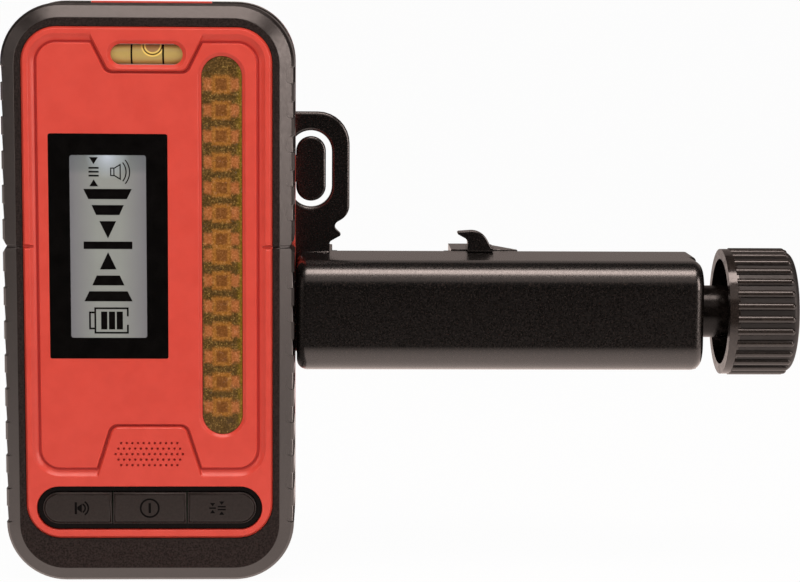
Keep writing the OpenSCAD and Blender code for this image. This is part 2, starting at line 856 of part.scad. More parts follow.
// Engraved sighting line on both sides, with its notch in the outline
module sighting_cuts() {
  for (s = [0, 1])
    mirror([s, 0, 0]) {
      translate([0, 0, grade_z - sight_line / 2])
        linear_extrude(sight_line)
          sight_section();
      along_y(y_front - past, y_part + past)
        polygon([
          [case_w / 2 - sight_depth, grade_z],
          [case_w / 2 + past, grade_z + sight_h * (sight_depth + past) / sight_depth / 2],
          [case_w / 2 + past, grade_z - sight_h * (sight_depth + past) / sight_depth / 2]
        ]);
    }
}

// Section of the engraved sighting line, which follows the bevel
module sight_section() {
  edge = case_w / 2;
  y_line = y_bumper + sight_cut;
  polygon([
    [field_w / 2 + field_slope - past, y_front - past],
    [field_w / 2 + field_slope - past, y_line],
    [edge - bevel_w, y_line],
    [edge - brow_w, y_line + bevel_d],
    [edge + past, y_line + bevel_d],
    [edge + past, y_front - past]
  ]);
}

// Places of the four shell screws
module at_screws() {
  for (sx = [-1, 1], z = [screw_z_low, screw_z_high])
    translate([sx * screw_x, 0, z])
      children();
}

module front_shell() {
  color("tomato")
    difference() {
      union() {
        difference() {
          union() {
            difference() {
              translate([0, 0, panel_cz])
                edged_slab(panel_w, panel_h, panel_r, y_front, y_part)
                  chamfer_section(panel_r, y_front, y_part, panel_edge);
              field_pocket();
            }
            field_plateau();
          }
          along_y(y_inner, y_part + past)
            translate([0, panel_cz])
              rounded_rect(cavity_w, cavity_h, panel_r - wall);
        }
        at_screws()
          y_bar(boss_r, y_inner - seat, y_part);
      }
      at_screws()
        y_bar(screw_r + seat, y_screw_tip - past, y_part + past);
      along_y(y_front - past, y_pane_back)
        translate([lcd_x, grade_z])
          rounded_rect(lcd_w + 2 * seat, lcd_h + 2 * seat, lcd_r + seat);
      along_y(y_front - past, y_inner + past)
        translate([lcd_x, grade_z])
          square([display_w + ledge, display_h + ledge], center = true);
      along_y(y_front - past, y_pane_back)
        translate([sensor_x, grade_z])
          pill(sensor_w + 2 * seat, sensor_h + 2 * seat);
      along_y(y_front - past, y_inner + past)
        translate([sensor_x, grade_z])
          pill(sensor_w - 2 * ledge, sensor_h - 2 * ledge);
      translate([sensor_x, 0, grade_z])
        sloped_pill(sensor_w + 2 * seat, sensor_h + 2 * seat, y_field);
      along_y(y_front - past, y_inner + past)
        translate([0, vial_z])
          pill(vial_w, vial_h);
      translate([0, 0, vial_z])
        rotate([0, 90, 0])
          sloped_pill(vial_h, vial_w, y_front);
      translate([-vial_len / 2 - seat, vial_y, vial_z])
        rotate([0, 90, 0])
          cylinder(r = vial_r + seat, h = vial_len + 2 * seat);
      along_y(y_front - past, y_inner + past)
        translate([0, keys_z])
          pill(keys_w, keys_h);
      grille_holes();
      sighting_cuts();
    }
}

module rear_shell() {
  color("indianred")
    difference() {
      union() {
        difference() {
          translate([0, 0, case_cz])
            edged_slab(rear_w, rear_h, rear_r, y_part, y_back)
              round_back_section(rear_r, y_part, y_back, rear_round);
          along_y(y_part - past, y_rear_inner)
            translate([0, panel_cz])
              rounded_rect(cavity_w, cavity_h, panel_r - wall);
          guard_cut();
        }
        at_screws()
          y_bar(boss_r + boss_wall, y_part, y_rear_inner + seat);
        along_y(y_bay - bay_wall, y_rear_inner + seat)
          translate([0, bay_cz])
            square([bay_w + 2 * bay_wall, bay_h + 2 * bay_wall], center = true);
        translate([-door_w / 2 - bay_wall, y_rear_inner - barrel_r, panel_low + wall])
          cube([door_w + 2 * bay_wall, barrel_r + seat, bay_z - panel_low - wall]);
        shoe();
      }
      at_screws()
        y_bar(screw_r + seat, y_part - past, y_back);
      at_screws()
        y_bar(screw_head_r + seat, y_screw_head, y_back + past);
      along_y(y_bay, y_back + past)
        translate([0, bay_cz])
          square([bay_w, bay_h], center = true);
      along_y(y_rear_inner, y_back + past)
        door_outline(slip);
      translate([-door_w / 2 - slip, hinge_y, hinge_z])
        rotate([0, 90, 0])
          cylinder(r = barrel_r + slip, h = door_w + 2 * slip);
      translate([-door_w / 2 - slip, hinge_y, hinge_z - barrel_r - 2 * slip])
        cube([door_w + 2 * slip, door_t, barrel_r + 2 * slip]);
      translate([-door_w / 2 - slip - pin_grip - seat, hinge_y, hinge_z])
        rotate([0, 90, 0])
          cylinder(r = pin_r + seat / 2, h = door_w + 2 * (slip + pin_grip + seat));
      translate([0, 0, door_z1])
        y_bar(notch_r, y_back - door_t / 2, y_back + past);
      gasket_ring(seat, y_part - past, y_part + past);
    }
}

// Dovetail shoe on the rear wall, with the latch notch at its right side
module shoe() {
  half = shoe_w / 2;
  difference() {
    translate([0, 0, shoe_z])
      linear_extrude(shoe_h)
        polygon([
          [-half, y_back - seat],
          [half, y_back - seat],
          [half, y_back],
          [half + shoe_flare, y_shoe],
          [-half - shoe_flare, y_shoe],
          [-half, y_back]
        ]);
    translate([half, y_back, hole_z - arm_slot_h / 2])
      cube([2 * shoe_flare, 2 * shoe_t, arm_slot_h]);
  }
}

// Closed outline of the battery door above its hinge, grown by a gap
module door_outline(gap) {
  h = door_z1 - hinge_z;
  translate([0, hinge_z + h / 2])
    square([door_w + 2 * gap, h + 2 * gap], center = true);
}

// Ring that the shell gasket fills
module gasket_ring(gap, y0, y1) {
  mid_w = panel_w - wall;
  mid_h = panel_h - wall;
  mid_r = panel_r - wall / 2;
  half = wall / 5 + gap;
  along_y(y0, y1)
    translate([0, panel_cz])
      difference() {
        rounded_rect(mid_w + 2 * half, mid_h + 2 * half, mid_r + half);
        rounded_rect(mid_w - 2 * half, mid_h - 2 * half, mid_r - half);
      }
}

// Corner areas that the guards cover
module guard_corners() {
  for (sx = [-1, 1], sz = [-1, 1])
    translate([sx * (case_w - guard_x + past) / 2, case_cz + sz * (case_h - guard_z + past) / 2])
      square([guard_x + past, guard_z + past], center = true);
}

// Recess of the corner guards in the rear shell
module guard_cut() {
  along_y(y_part - past, y_part + guard_d + seat)
    difference() {
      guard_corners();
      translate([0, case_cz])
        rounded_rect(case_w - 2 * guard_t, case_h - 2 * guard_t, case_r - guard_t);
    }
}

module corner_guards() {
  inset = guard_t - seat;
  color("dimgray")
    along_y(y_part, y_part + guard_d)
      intersection() {
        difference() {
          translate([0, case_cz])
            rounded_rect(case_w, case_h, case_r);
          translate([0, case_cz])
            rounded_rect(case_w - 2 * inset, case_h - 2 * inset, case_r - inset);
        }
        offset_corners(seat);
      }
}

// Guard areas, set back by a gap from the shell's edges
module offset_corners(gap) {
  for (sx = [-1, 1], sz = [-1, 1])
    translate([sx * (case_w / 2 - guard_x / 2 + gap), case_cz + sz * (case_h / 2 - guard_z / 2 + gap)])
      square([guard_x, guard_z], center = true);
}

module front_bumper() {
  color("dimgray")
    difference() {
      translate([0, 0, bumper_h / 2])
        edged_slab(case_w, bumper_h, case_r, y_bumper, y_part)
          bumper_section(case_r);
      along_y(y_front - past, y_part + past)
        translate([0, panel_cz])
          rounded_rect(panel_w + 2 * seat, panel_h + 2 * seat, panel_r + seat);
      sighting_cuts();
      for (s = [0, 1], k = [-grips_down : grips_up])
        if (k != 0)
          mirror([s, 0, 0])
            translate([0, 0, grade_z + k * grip_pitch])
              grip_notch();
    }
}

// One grip notch with round inner corners
module grip_notch() {
  intersection() {
    translate([0, 0, -grip_len / 2])
      linear_extrude(grip_len)
        grip_section();
    along_y(y_front - past, y_part)
      translate([case_w / 2, 0])
        rounded_rect(2 * grip_w, grip_len, grip_r);
  }
}

// Section of one grip notch, sunk into the bevel and the side
module grip_section() {
  edge = case_w / 2;
  slope = bevel_d / (bevel_w - brow_w);
  y_in = y_bumper + (bevel_w - grip_w) * slope + grip_sink;
  y_out = y_bumper + (bevel_w - grip_depth) * slope + grip_sink;
  polygon([
    [edge - grip_w - past, y_front - past],
    [edge - grip_w - past, y_in - past * slope],
    [edge - grip_depth, y_out],
    [edge - grip_depth, y_part - past],
    [edge + past, y_part - past],
    [edge + past, y_front - past]
  ]);
}

module shell_gasket() {
  color("black")
    gasket_ring(0, y_part, y_part + past - seat);
}

module shell_screws() {
  color("silver")
    at_screws() {
      y_bar(screw_r, y_screw_tip, y_screw_head + seat);
      difference() {
        y_bar(screw_head_r, y_screw_head, y_back - seat);
        translate([0, y_back - screw_head_h / 2, 0])
          rotate([-90, 0, 0])
            cylinder(r = screw_r, h = screw_head_h, $fn = 6);
      }
    }
}

module display_window() {
  color("black")
    along_y(y_pane, y_pane_back - seat)
      translate([lcd_x, grade_z])
        rounded_rect(lcd_w, lcd_h, lcd_r);
}

module display_module() {
  color("lightslategray")
    difference() {
      along_y(y_inner + seat, y_board - seat)
        translate([lcd_x, grade_z])
          square([module_w, module_h], center = true);
      along_y(y_board - display_t / 4, y_board + past)
        translate([lcd_x, grade_z])
          square([module_w - 2 * display_border, module_h - 2 * display_border], center = true);
    }
}

module sensor_window() {
  color("darkgoldenrod")
    along_y(y_pane + rim_d, y_pane_back - seat)
      translate([sensor_x, grade_z])
        pill(sensor_w, sensor_h);
}

module sensor_board() {
  low_z = grade_z - sensor_h / 2 + ledge;
  high_z = vial_z - vial_r - ledge;
  color("darkolivegreen")
    along_y(y_inner + seat, y_inner + seat + sensor_board_t)
      translate([sensor_x, (low_z + high_z) / 2])
        square([sensor_w - seat, high_z - low_z], center = true);
}

module photodiodes() {
  color("saddlebrown")
    for (s = [-1, 1], k = [0 : diode_count - 1])
      along_y(y_inner + seat - diode_t, y_inner + seat)
        translate([sensor_x, grade_z + s * (diode_offset + k * diode_pitch)])
          square(diode_w, center = true);
}

module main_board() {
  low_z = keys_z - keys_h / 2;
  high_z = vial_z - vial_r - wall;
  board_w = cavity_w - 2 * board_gap;
  color("seagreen")
    difference() {
      along_y(y_board, y_board_back)
        translate([0, (low_z + high_z) / 2])
          rounded_rect(board_w, high_z - low_z, panel_r - wall - board_gap);
      at_screws()
        y_bar(boss_r + slip, y_board - past, y_board_back + past);
    }
}

module vial_tube() {
  color("khaki")
    translate([-vial_len / 2, vial_y, vial_z])
      rotate([0, 90, 0])
        difference() {
          cylinder(r = vial_r, h = vial_len);
          translate([0, 0, -past])
            cylinder(r = vial_r - vial_wall, h = vial_len + 2 * past);
        }
}

module vial_liquid() {
  len = vial_len - 2 * vial_plug - 2 * seat;
  rise = vial_r - vial_wall - seat - bubble_r;
  color("yellowgreen")
    translate([-len / 2, vial_y, vial_z])
      rotate([0, 90, 0])
        difference() {
          cylinder(r = vial_r - vial_wall - seat, h = len);
          translate([-rise + seat, 0, len / 2 - bubble_len / 2]) {
            cylinder(r = bubble_r, h = bubble_len);
            sphere(bubble_r);
            translate([0, 0, bubble_len])
              sphere(bubble_r);
          }
        }
}

module vial_plugs() {
  color("darkkhaki")
    for (s = [0, 1])
      mirror([s, 0, 0])
        translate([vial_len / 2 - vial_plug, vial_y, vial_z])
          rotate([0, 90, 0])
            cylinder(r = vial_r - vial_wall - seat, h = vial_plug);
}

module vial_clip() {
  color("whitesmoke")
    difference() {
      along_y(y_inner + seat, vial_y + vial_r + wall / 2)
        translate([0, vial_z])
          square([vial_len - 2 * vial_plug, 2 * vial_r + wall], center = true);
      translate([-vial_len / 2, vial_y, vial_z])
        rotate([0, 90, 0])
          cylinder(r = vial_r + seat, h = vial_len);
    }
}

module speaker() {
  magnet_t = speaker_t / 2;
  color("dimgray")
    translate([0, 0, speaker_z]) {
      difference() {
        y_bar(speaker_r, y_inner + seat, y_inner + speaker_t - magnet_t);
        y_bar(speaker_r - wall / 2, y_inner, y_inner + seat + wall / 4);
      }
      y_bar(speaker_r / 2, y_inner + speaker_t - magnet_t - seat, y_inner + speaker_t);
    }
}

module key_frame() {
  rim = 2 * keys_border;
  flange_in_h = key_h + 2 * key_flange + 2 * slip;
  color("black")
    difference() {
      union() {
        along_y(y_frame, y_inner + seat)
          translate([0, keys_z])
            pill(keys_w - 4 * seat, keys_h - 4 * seat);
        along_y(y_inner + seat, y_flange_back)
          intersection() {
            translate([0, keys_z])
              pill(keys_w + rim - wall, keys_h + rim - wall);
            translate([0, panel_cz])
              rounded_rect(cavity_w - 2 * seat, cavity_h - 2 * seat, panel_r - wall - seat);
          }
      }
      along_y(y_frame - past, y_flange_back + past)
        translate([0, keys_z])
          pill(frame_in_w, frame_in_h);
      along_y(y_inner + 2 * seat, y_flange_back + past)
        translate([0, keys_z])
          pill(frame_in_w + 2 * key_flange, flange_in_h);
    }
}

// Key cap between x0 and x1 of the common key outline, with its retaining flange
module key(x0, x1) {
  color("darkslategray") {
    along_y(y_key + key_edge, y_flange)
      intersection() {
        translate([0, keys_z])
          pill(key_w, key_h);
        translate([x0, keys_z - key_h])
          square([x1 - x0, 2 * key_h]);
      }
    along_y(y_key, y_key + key_edge)
      intersection() {
        translate([0, keys_z])
          pill(key_w - key_edge, key_h - key_edge);
        translate([x0 + key_edge / 2, keys_z - key_h])
          square([x1 - x0 - key_edge, 2 * key_h]);
      }
    along_y(y_flange, y_flange_back)
      intersection() {
        translate([0, keys_z])
          pill(key_w - 2 * slip, key_h + 2 * key_flange);
        translate([x0, keys_z - key_h])
          square([x1 - x0, 2 * key_h]);
      }
  }
}

module sound_key() {
  key(-key_w / 2, -key_mid_w / 2 - key_gap);
}

module power_key() {
  key(-key_mid_w / 2, key_mid_w / 2);
}

module accuracy_key() {
  key(key_mid_w / 2 + key_gap, key_w / 2);
}

module key_switches() {
  side_x = (key_mid_w / 2 + key_gap + key_w / 2) / 2;
  color("gray")
    for (x = [-side_x, 0, side_x])
      translate([x, 0, keys_z]) {
        along_y(y_switch + switch_w / 8, y_board)
          square(switch_w, center = true);
        y_bar(switch_w / 4, y_switch, y_switch + switch_w / 8 + seat);
      }
}

module battery_door() {
  color("firebrick")
    difference() {
      union() {
        along_y(y_door, y_back)
          door_outline(0);
        translate([-door_w / 2, hinge_y, hinge_z])
          rotate([0, 90, 0])
            cylinder(r = barrel_r, h = door_w);
      }
      translate([-door_w / 2 - past, hinge_y, hinge_z])
        rotate([0, 90, 0])
          cylinder(r = pin_r + running, h = door_w + 2 * past);
      translate([-door_w / 2 - past, y_door - past, hinge_z - past - barrel_r])
        difference() {
          cube([door_w + 2 * past, door_t + 2 * past, past + barrel_r]);
          translate([0, hinge_y - y_door + past, past + barrel_r])
            rotate([0, 90, 0])
              cylinder(r = barrel_r, h = door_w + 2 * past);
        }
    }
}

module door_seal() {
  seal = door_ledge / 3;
  low = hinge_z + barrel_r + slip;
  high = bay_z + bay_h + seal;
  color("black")
    along_y(y_door - slip + seat, y_door)
      translate([0, (low + high) / 2])
        difference() {
          square([bay_w + 2 * seal, high - low], center = true);
          square([bay_w, high - low - 2 * seal], center = true);
        }
}

module door_pin() {
  half = door_w / 2 + slip + pin_grip;
  color("silver")
    translate([-half, hinge_y, hinge_z])
      rotate([0, 90, 0])
        cylinder(r = pin_r, h = 2 * half);
}

module battery_cells() {
  color("steelblue")
    for (s = [0, 1])
      mirror([s, 0, 0])
        translate([cell_pitch / 2, cell_y, bay_cz])
          mirror([0, 0, s])
            translate([0, 0, -(cell_len + cell_nub) / 2]) {
              cylinder(r = cell_r, h = cell_len);
              cylinder(r = cell_nub_r, h = cell_len + cell_nub);
            }
}

module battery_contacts() {
  bow = contact_room - contact_t;
  color("gold")
    for (sx = [-1, 1], s = [0, 1])
      translate([sx * cell_pitch / 2, cell_y, bay_cz])
        mirror([0, 0, s])
          translate([0, 0, -bay_h / 2]) {
            translate([-leaf_w / 2, -cell_r, 0])
              cube([leaf_w, 2 * cell_r, contact_t]);
            translate([0, 0, contact_t - seat])
              cylinder(r1 = cell_nub_r, r2 = cell_nub_r / 2, h = bow);
          }
}

// Plate outline with the round finger corner, the reading spike, the neck and the web
module plate_outline() {
  rounded_outline([
    [-plate_left, plate_z0, plate_corner],
    [web_x0, plate_z0, neck_fillet],
    [web_x0, web_z0, web_r],
    [neck_x0, web_z0, 0],
    [neck_x0, neck_z0, 0],
    [neck_x1, neck_z0, 0],
    [neck_x1, grade_z - spike_low, 2 * spike_r],
    [tube_x0 + spike_reach, grade_z, spike_r],
    [neck_x1 + spike_r, grade_z + spike_high, beak_r],
    [plate_x1, grade_z + hip_rise, plate_hip],
    [plate_x1, plate_z1, plate_r],
    [-plate_left, plate_z1, plate_corner]
  ]);
}

// Window of the plate for the paddle and the lever's arm
module lever_window() {
  translate([hole_x, hole_z])
    pill(hole_w, hole_h);
  translate([slot_x0, hole_z - arm_slot_h / 2])
    square([hole_x - slot_x0, arm_slot_h]);
}

// Dovetail rails that hold the receiver's shoe
module shoe_rails() {
  half = shoe_w / 2 + shoe_gap;
  for (s = [0, 1])
    mirror([s, 0, 0])
      difference() {
        translate([0, 0, shoe_z])
          linear_extrude(shoe_h)
            polygon([
              [half + shoe_gap, y_back + shoe_gap],
              [half + shoe_flare + rail_w, y_back + shoe_gap],
              [half + shoe_flare + rail_w, y_plate + seat],
              [half + shoe_flare + shoe_gap, y_plate + seat],
              [half + shoe_flare + shoe_gap, y_shoe]
            ]);
        translate([0, y_back, hole_z - arm_slot_h / 2])
          cube([plate_x1, plate_gap + past, arm_slot_h]);
      }
}

// Outer form of the clamp body, with large radii at the front and small ones at the rear
module tube_form() {
  tube_block(tube_y0, tube_r, tube_end_r);
  tube_block(axis_y, tube_back_r, tube_back_r - seat);
}

// Block from y0 to the rear of the clamp body, rounded along its edges and at its ends
module tube_block(y0, r, end_r) {
  translate([0, (y0 + tube_y1) / 2, axis_z])
    rotate([0, 0, -90])
      edged_slab(tube_y1 - y0, tube_h, r, tube_x0, tube_x1)
        intersection() {
          union() {
            translate([0, tube_x0 + end_r])
              square([r, tube_len - 2 * end_r]);
            translate([0, tube_x0])
              square([r - end_r, tube_len]);
            translate([r - end_r, tube_x0 + end_r])
              circle(end_r);
            translate([r - end_r, tube_x1 - end_r])
              circle(end_r);
          }
          translate([0, tube_x0])
            square([r, tube_len]);
        }
}

module clamp_body() {
  color("#1b1818")
    difference() {
      union() {
        tube_form();
        along_y(y_plate, y_plate_back)
          plate_outline();
        shoe_rails();
        translate([0, 0, jaw_z0])
          linear_extrude(jaw_h)
            polygon([
              [tube_x0 + tube_end_r, tube_y1 - past],
              [jaw_fixed_x, tube_y1 - past],
              [jaw_fixed_x, jaw_y1],
              [jaw_fixed_x - jaw_tip / 2, jaw_y1],
              [tube_x0 + tube_end_r, tube_y1 + tube_end_r]
            ]);
      }
      along_x(bore_x0, tube_x1 + past)
        translate([axis_y, axis_z])
          rounded_rect(bore_w, bore_h, tube_r - tube_end_r);
      translate([slot_x1, axis_y, axis_z - slot_h / 2])
        cube([slot_x2 - slot_x1, tube_d, slot_h]);
      axis_bar(journal_r + running, bore_x0 - tube_end / 2, bore_x0 + past);
      along_y(y_plate - past, y_plate_back + past)
        lever_window();
      translate([lever_x, lever_y, hole_z - arm_slot_h / 2 - lever_pin_grip - seat])
        cylinder(r = lever_pin_r + seat / 2, h = arm_slot_h + 2 * lever_pin_grip + 2 * seat);
      at_plug_screws() {
        cylinder(r = screw_r + seat, h = tube_wall + past);
        translate([0, 0, -past])
          cylinder(r = screw_head_r + seat, h = screw_head_h + past);
      }
    }
}

// Places of the end plug's screws, at the underside
module at_plug_screws() {
  for (s = [-1, 1])
    translate([plug_x0 + plug_t / 2, axis_y + s * bore_w / 4, tube_z0])
      children();
}

module end_plug() {
  color("#211d1d")
    difference() {
      along_x(plug_x0, tube_x1 - seat)
        translate([axis_y, axis_z])
          rounded_rect(bore_w - 2 * seat, bore_h - 2 * seat, tube_r - tube_end_r);
      axis_bar(bush_r + seat, plug_x0 - past, tube_x1 + past);
      at_plug_screws()
        cylinder(r = screw_r + seat, h = tube_wall + screw_bite / 2);
    }
}

module end_plug_screws() {
  color("silver")
    at_plug_screws() {
      translate([0, 0, seat])
        cylinder(r = screw_head_r, h = screw_head_h - 2 * seat);
      translate([0, 0, screw_head_h / 2])
        cylinder(r = screw_r, h = tube_wall + screw_bite / 2 - screw_head_h / 2 - seat);
    }
}

module lead_screw() {
  color("silver")
    difference() {
      union() {
        axis_bar(lead_r, bore_x0 + slip, knob_x1 - end_band - rib_r);
        axis_bar(journal_r, bore_x0 - tube_end / 2 + slip, bore_x0 + past);
      }
      translate([cross_x, axis_y, axis_z - knob_r])
        cylinder(r = cross_r + seat / 2, h = 2 * knob_r);
    }
}

module screw_bush() {
  color("peru")
    difference() {
      union() {
        axis_bar(bush_r, plug_x0 - seat, tube_x1);
        axis_bar(bush_r + bush_flange, flange_x0, plug_x0);
      }
      axis_bar(lead_r + running, flange_x0 - past, tube_x1 + past);
    }
}

module screw_clip() {
  color("silver")
    difference() {
      axis_bar(lead_r + bush_wall, clip_x0, clip_x0 + clip_t);
      axis_bar(lead_r + seat / 2, clip_x0 - past, clip_x0 + clip_t + past);
      translate([clip_x0 - past, axis_y - lead_r / 2, axis_z - 2 * lead_r])
        cube([clip_t + 2 * past, lead_r, 2 * lead_r]);
    }
}

module clamp_knob() {
  rib_x1 = knob_x1 - end_band;
  color("#241f1e")
    difference() {
      union() {
        axis_bar(knob_r - rib_out / 4, knob_x0, knob_x0 + rim_ring);
        along_x(knob_x0 + rim_ring, rib_x1 - rib_r)
          translate([axis_y, axis_z]) {
            circle(knob_body_r);
            for (i = [0 : rib_count - 1])
              rotate(i * 360 / rib_count)
                translate([rib_center, 0])
                  circle(rib_r);
          }
        for (i = [0 : rib_count - 1])
          translate([rib_x1 - rib_r, axis_y, axis_z])
            rotate([i * 360 / rib_count, 0, 0])
              translate([0, rib_center, 0])
                sphere(rib_r, $fn = 24);
        translate([rib_x1 - rib_r, axis_y, axis_z])
          rotate([0, 90, 0])
            rotate_extrude()
              knob_end();
        axis_bar(hub_r, hub_x0, knob_x0 + rim_ring);
      }
      difference() {
        axis_bar(knob_r - knob_wall, knob_x0 - past, knob_x0 + knob_hollow);
        axis_bar(hub_r, hub_x0 - past, knob_x0 + knob_hollow + past);
      }
      axis_bar(lead_r + seat / 2, hub_x0 - past, knob_x1 - end_band - rib_r + seat);
      translate([cross_x, axis_y, axis_z - hub_r - past])
        cylinder(r = cross_r + seat / 2, h = 2 * (hub_r + past));
    }
}

// Half section of the knob's rounded end
module knob_end() {
  h = end_band + rib_r;
  square([knob_body_r - end_r, h]);
  square([knob_body_r, h - end_r]);
  translate([knob_body_r - end_r, h - end_r])
    intersection() {
      circle(end_r);
      square(end_r);
    }
}

module knob_pin() {
  color("silver")
    translate([cross_x, axis_y, axis_z - hub_r])
      cylinder(r = cross_r, h = 2 * hub_r);
}

module jaw_carriage() {
  x0 = jaw_cx - carriage_len / 2;
  color("#2a2726")
    difference() {
      union() {
        along_x(x0, x0 + carriage_len)
          translate([axis_y, axis_z])
            rounded_rect(bore_w - 2 * slip, bore_h - 2 * slip, tube_r - tube_end_r);
        translate([jaw_cx - neck_len / 2, axis_y, axis_z - slot_h / 2 + slip])
          cube([neck_len, jaw_y0 - axis_y, slot_h - 2 * slip]);
      }
      axis_bar(lead_r + slip, x0 - past, x0 + carriage_len + past);
      axis_bar(nut_r + seat, jaw_cx - nut_len / 2 - seat, x0 + carriage_len + past);
      at_bolts()
        y_bar(bolt_r + seat, bolt_tip_y - seat, jaw_y0 + past);
    }
}

module jaw_nut() {
  color("goldenrod")
    difference() {
      axis_bar(nut_r, jaw_cx - nut_len / 2, jaw_cx + nut_len / 2);
      axis_bar(lead_r + running, jaw_cx - nut_len, jaw_cx + nut_len);
    }
}

// Places of the two bolts that hold the outer jaw to its carriage
module at_bolts() {
  for (s = [-1, 1])
    translate([bolt_x, 0, axis_z + s * bolt_pitch / 2])
      children();
}

// Shark fin outline whose tip points at the staff on the grade line
module fin_outline() {
  foot = [0, 0, 0];
  heel = [fin_w, 0, 0];
  crown = [fin_w - fin_lean, fin_h, fin_back_r];
  tip = [-fin_tip, fin_h - fin_fall, fin_tip_r];
  throat = [0, fin_throat, fin_throat_r];
  translate([fin_x0, fin_z0])
    rounded_outline([foot, heel, crown, tip, throat]);
}

module moving_jaw() {
  color("#241f1e")
    difference() {
      union() {
        translate([0, 0, jaw_z0])
          linear_extrude(jaw_h + slip)
            polygon([
              [jaw_x, jaw_y0],
              [jaw_x + jaw_root, jaw_y0],
              [jaw_x + jaw_tip, jaw_y1],
              [jaw_x, jaw_y1]
            ]);
        translate([fin_x0, fin_y0, fin_z0])
          cube([fin_w, jaw_y0 - fin_y0 + fin_t, bridge_t]);
        along_y(fin_y0, fin_y0 + fin_t)
          fin_outline();
      }
      at_bolts() {
        y_bar(bolt_r + seat, jaw_y0 - past, jaw_y1);
        y_bar(bolt_head_r + seat, jaw_y1 - bolt_head_r, jaw_y1 + past);
      }
    }
}

module jaw_bolts() {
  color("silver")
    at_bolts() {
      y_bar(bolt_r, bolt_tip_y, jaw_y1 - bolt_head_r + seat);
      difference() {
        y_bar(bolt_head_r, jaw_y1 - bolt_head_r, jaw_y1 - slip);
        y_bar(bolt_socket_r, jaw_y1 - bolt_head_r / 2, jaw_y1 + past, $fn = 6);
      }
    }
}

// Ribbed rubber pad seated at x, facing right or, with flip 1, left
module jaw_pad(x, flip) {
  groove = pad_h / (2 * pad_grooves + 1);
  color("dimgray")
    translate([x, pad_cy, pad_cz])
      mirror([flip, 0, 0])
        difference() {
          along_x(0, pad_t)
            rounded_rect(pad_d, pad_h, pad_border);
          for (i = [1 : pad_grooves])
            translate([pad_t / 2, -pad_d, (2 * i - 1) * groove - pad_h / 2])
              cube([pad_t, 2 * pad_d, groove]);
        }
}

module fixed_jaw_pad() {
  jaw_pad(jaw_fixed_x, 0);
}

module moving_jaw_pad() {
  jaw_pad(jaw_x, 1);
}

module release_lever() {
  y0 = lever_y - lever_t / 2;
  color("#1b1818")
    difference() {
      union() {
        along_y(y0, y0 + lever_t) {
          translate([hole_x, hole_z])
            pill(paddle_w, paddle_h);
          translate([nose_x0, arm_z0])
            square([hole_x - nose_x0, arm_h]);
        }
        translate([nose_x0, y_back + shoe_t / 3, arm_z0])
          cube([nose_w, y0 - y_back, arm_h]);
        translate([lever_x, lever_y, arm_z0])
          cylinder(r = plate_t / 2, h = arm_h);
      }
      translate([lever_x, lever_y, arm_z0 - past])
        cylinder(r = coil_r + wire_d / 2 + slip, h = coil_h + slip + past);
      translate([lever_x, lever_y, hole_z - arm_h])
        cylinder(r = lever_pin_r + running, h = 2 * arm_h);
    }
}

module lever_pin() {
  h = arm_slot_h + 2 * lever_pin_grip;
  color("silver")
    translate([lever_x, lever_y, hole_z - h / 2])
      cylinder(r = lever_pin_r, h = h);
}

module lever_spring() {
  color("silver")
    for (i = [0 : wire_turns - 1])
      translate([lever_x, lever_y, arm_z0 + wire_d / 2 + i * wire_pitch])
        rotate_extrude()
          translate([coil_r, 0])
            circle(wire_d / 2, $fn = 16);
}

front_shell();
rear_shell();
front_bumper();
corner_guards();
shell_gasket();
shell_screws();
display_window();
display_module();
sensor_window();
sensor_board();
photodiodes();
main_board();
vial_tube();
vial_liquid();
vial_plugs();
vial_clip();
speaker();
key_frame();
sound_key();
power_key();
accuracy_key();
key_switches();
battery_door();
door_seal();
door_pin();
battery_cells();
battery_contacts();
clamp_body();
end_plug();
end_plug_screws();
lead_screw();
screw_bush();
screw_clip();
clamp_knob();
knob_pin();
jaw_carriage();
jaw_nut();
moving_jaw();
jaw_bolts();
fixed_jaw_pad();
moving_jaw_pad();
release_lever();
lever_pin();
lever_spring();
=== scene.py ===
"""Looks of the laser receiver and its staff clamp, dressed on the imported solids."""

import json
import math

import bmesh
import bpy
from mathutils import Matrix, Vector


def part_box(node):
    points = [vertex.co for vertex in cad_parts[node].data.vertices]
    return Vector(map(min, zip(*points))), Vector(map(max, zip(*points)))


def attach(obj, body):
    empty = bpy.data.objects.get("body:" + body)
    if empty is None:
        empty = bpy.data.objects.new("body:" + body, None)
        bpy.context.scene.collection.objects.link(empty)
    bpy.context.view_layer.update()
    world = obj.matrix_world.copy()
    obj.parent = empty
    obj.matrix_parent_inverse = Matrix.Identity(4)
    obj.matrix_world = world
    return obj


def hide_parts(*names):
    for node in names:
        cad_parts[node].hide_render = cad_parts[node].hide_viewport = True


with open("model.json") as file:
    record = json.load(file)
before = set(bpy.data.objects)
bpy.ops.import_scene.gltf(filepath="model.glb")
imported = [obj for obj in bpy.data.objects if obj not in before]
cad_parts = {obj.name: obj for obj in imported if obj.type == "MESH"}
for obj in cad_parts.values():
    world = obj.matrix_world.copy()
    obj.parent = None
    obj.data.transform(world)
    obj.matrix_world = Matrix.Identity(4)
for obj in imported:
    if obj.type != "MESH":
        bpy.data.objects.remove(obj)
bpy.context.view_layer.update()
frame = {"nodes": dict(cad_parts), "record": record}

MM = 0.001
ROOT = "receiver"
NODES = frame["nodes"]
RECORD = frame["record"]
BODY_OF = {n: b for b, members in RECORD["behaviour"]["bodies"].items() for n in members}
SLOT_OF = {row["node"]: row["material_slot"] for row in RECORD["subparts"]}


def low(node, axis):
    """Lowest coordinate of a node on an axis, in millimetres."""
    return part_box(node)[0][axis] / MM


def high(node, axis):
    """Highest coordinate of a node on an axis, in millimetres."""
    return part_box(node)[1][axis] / MM


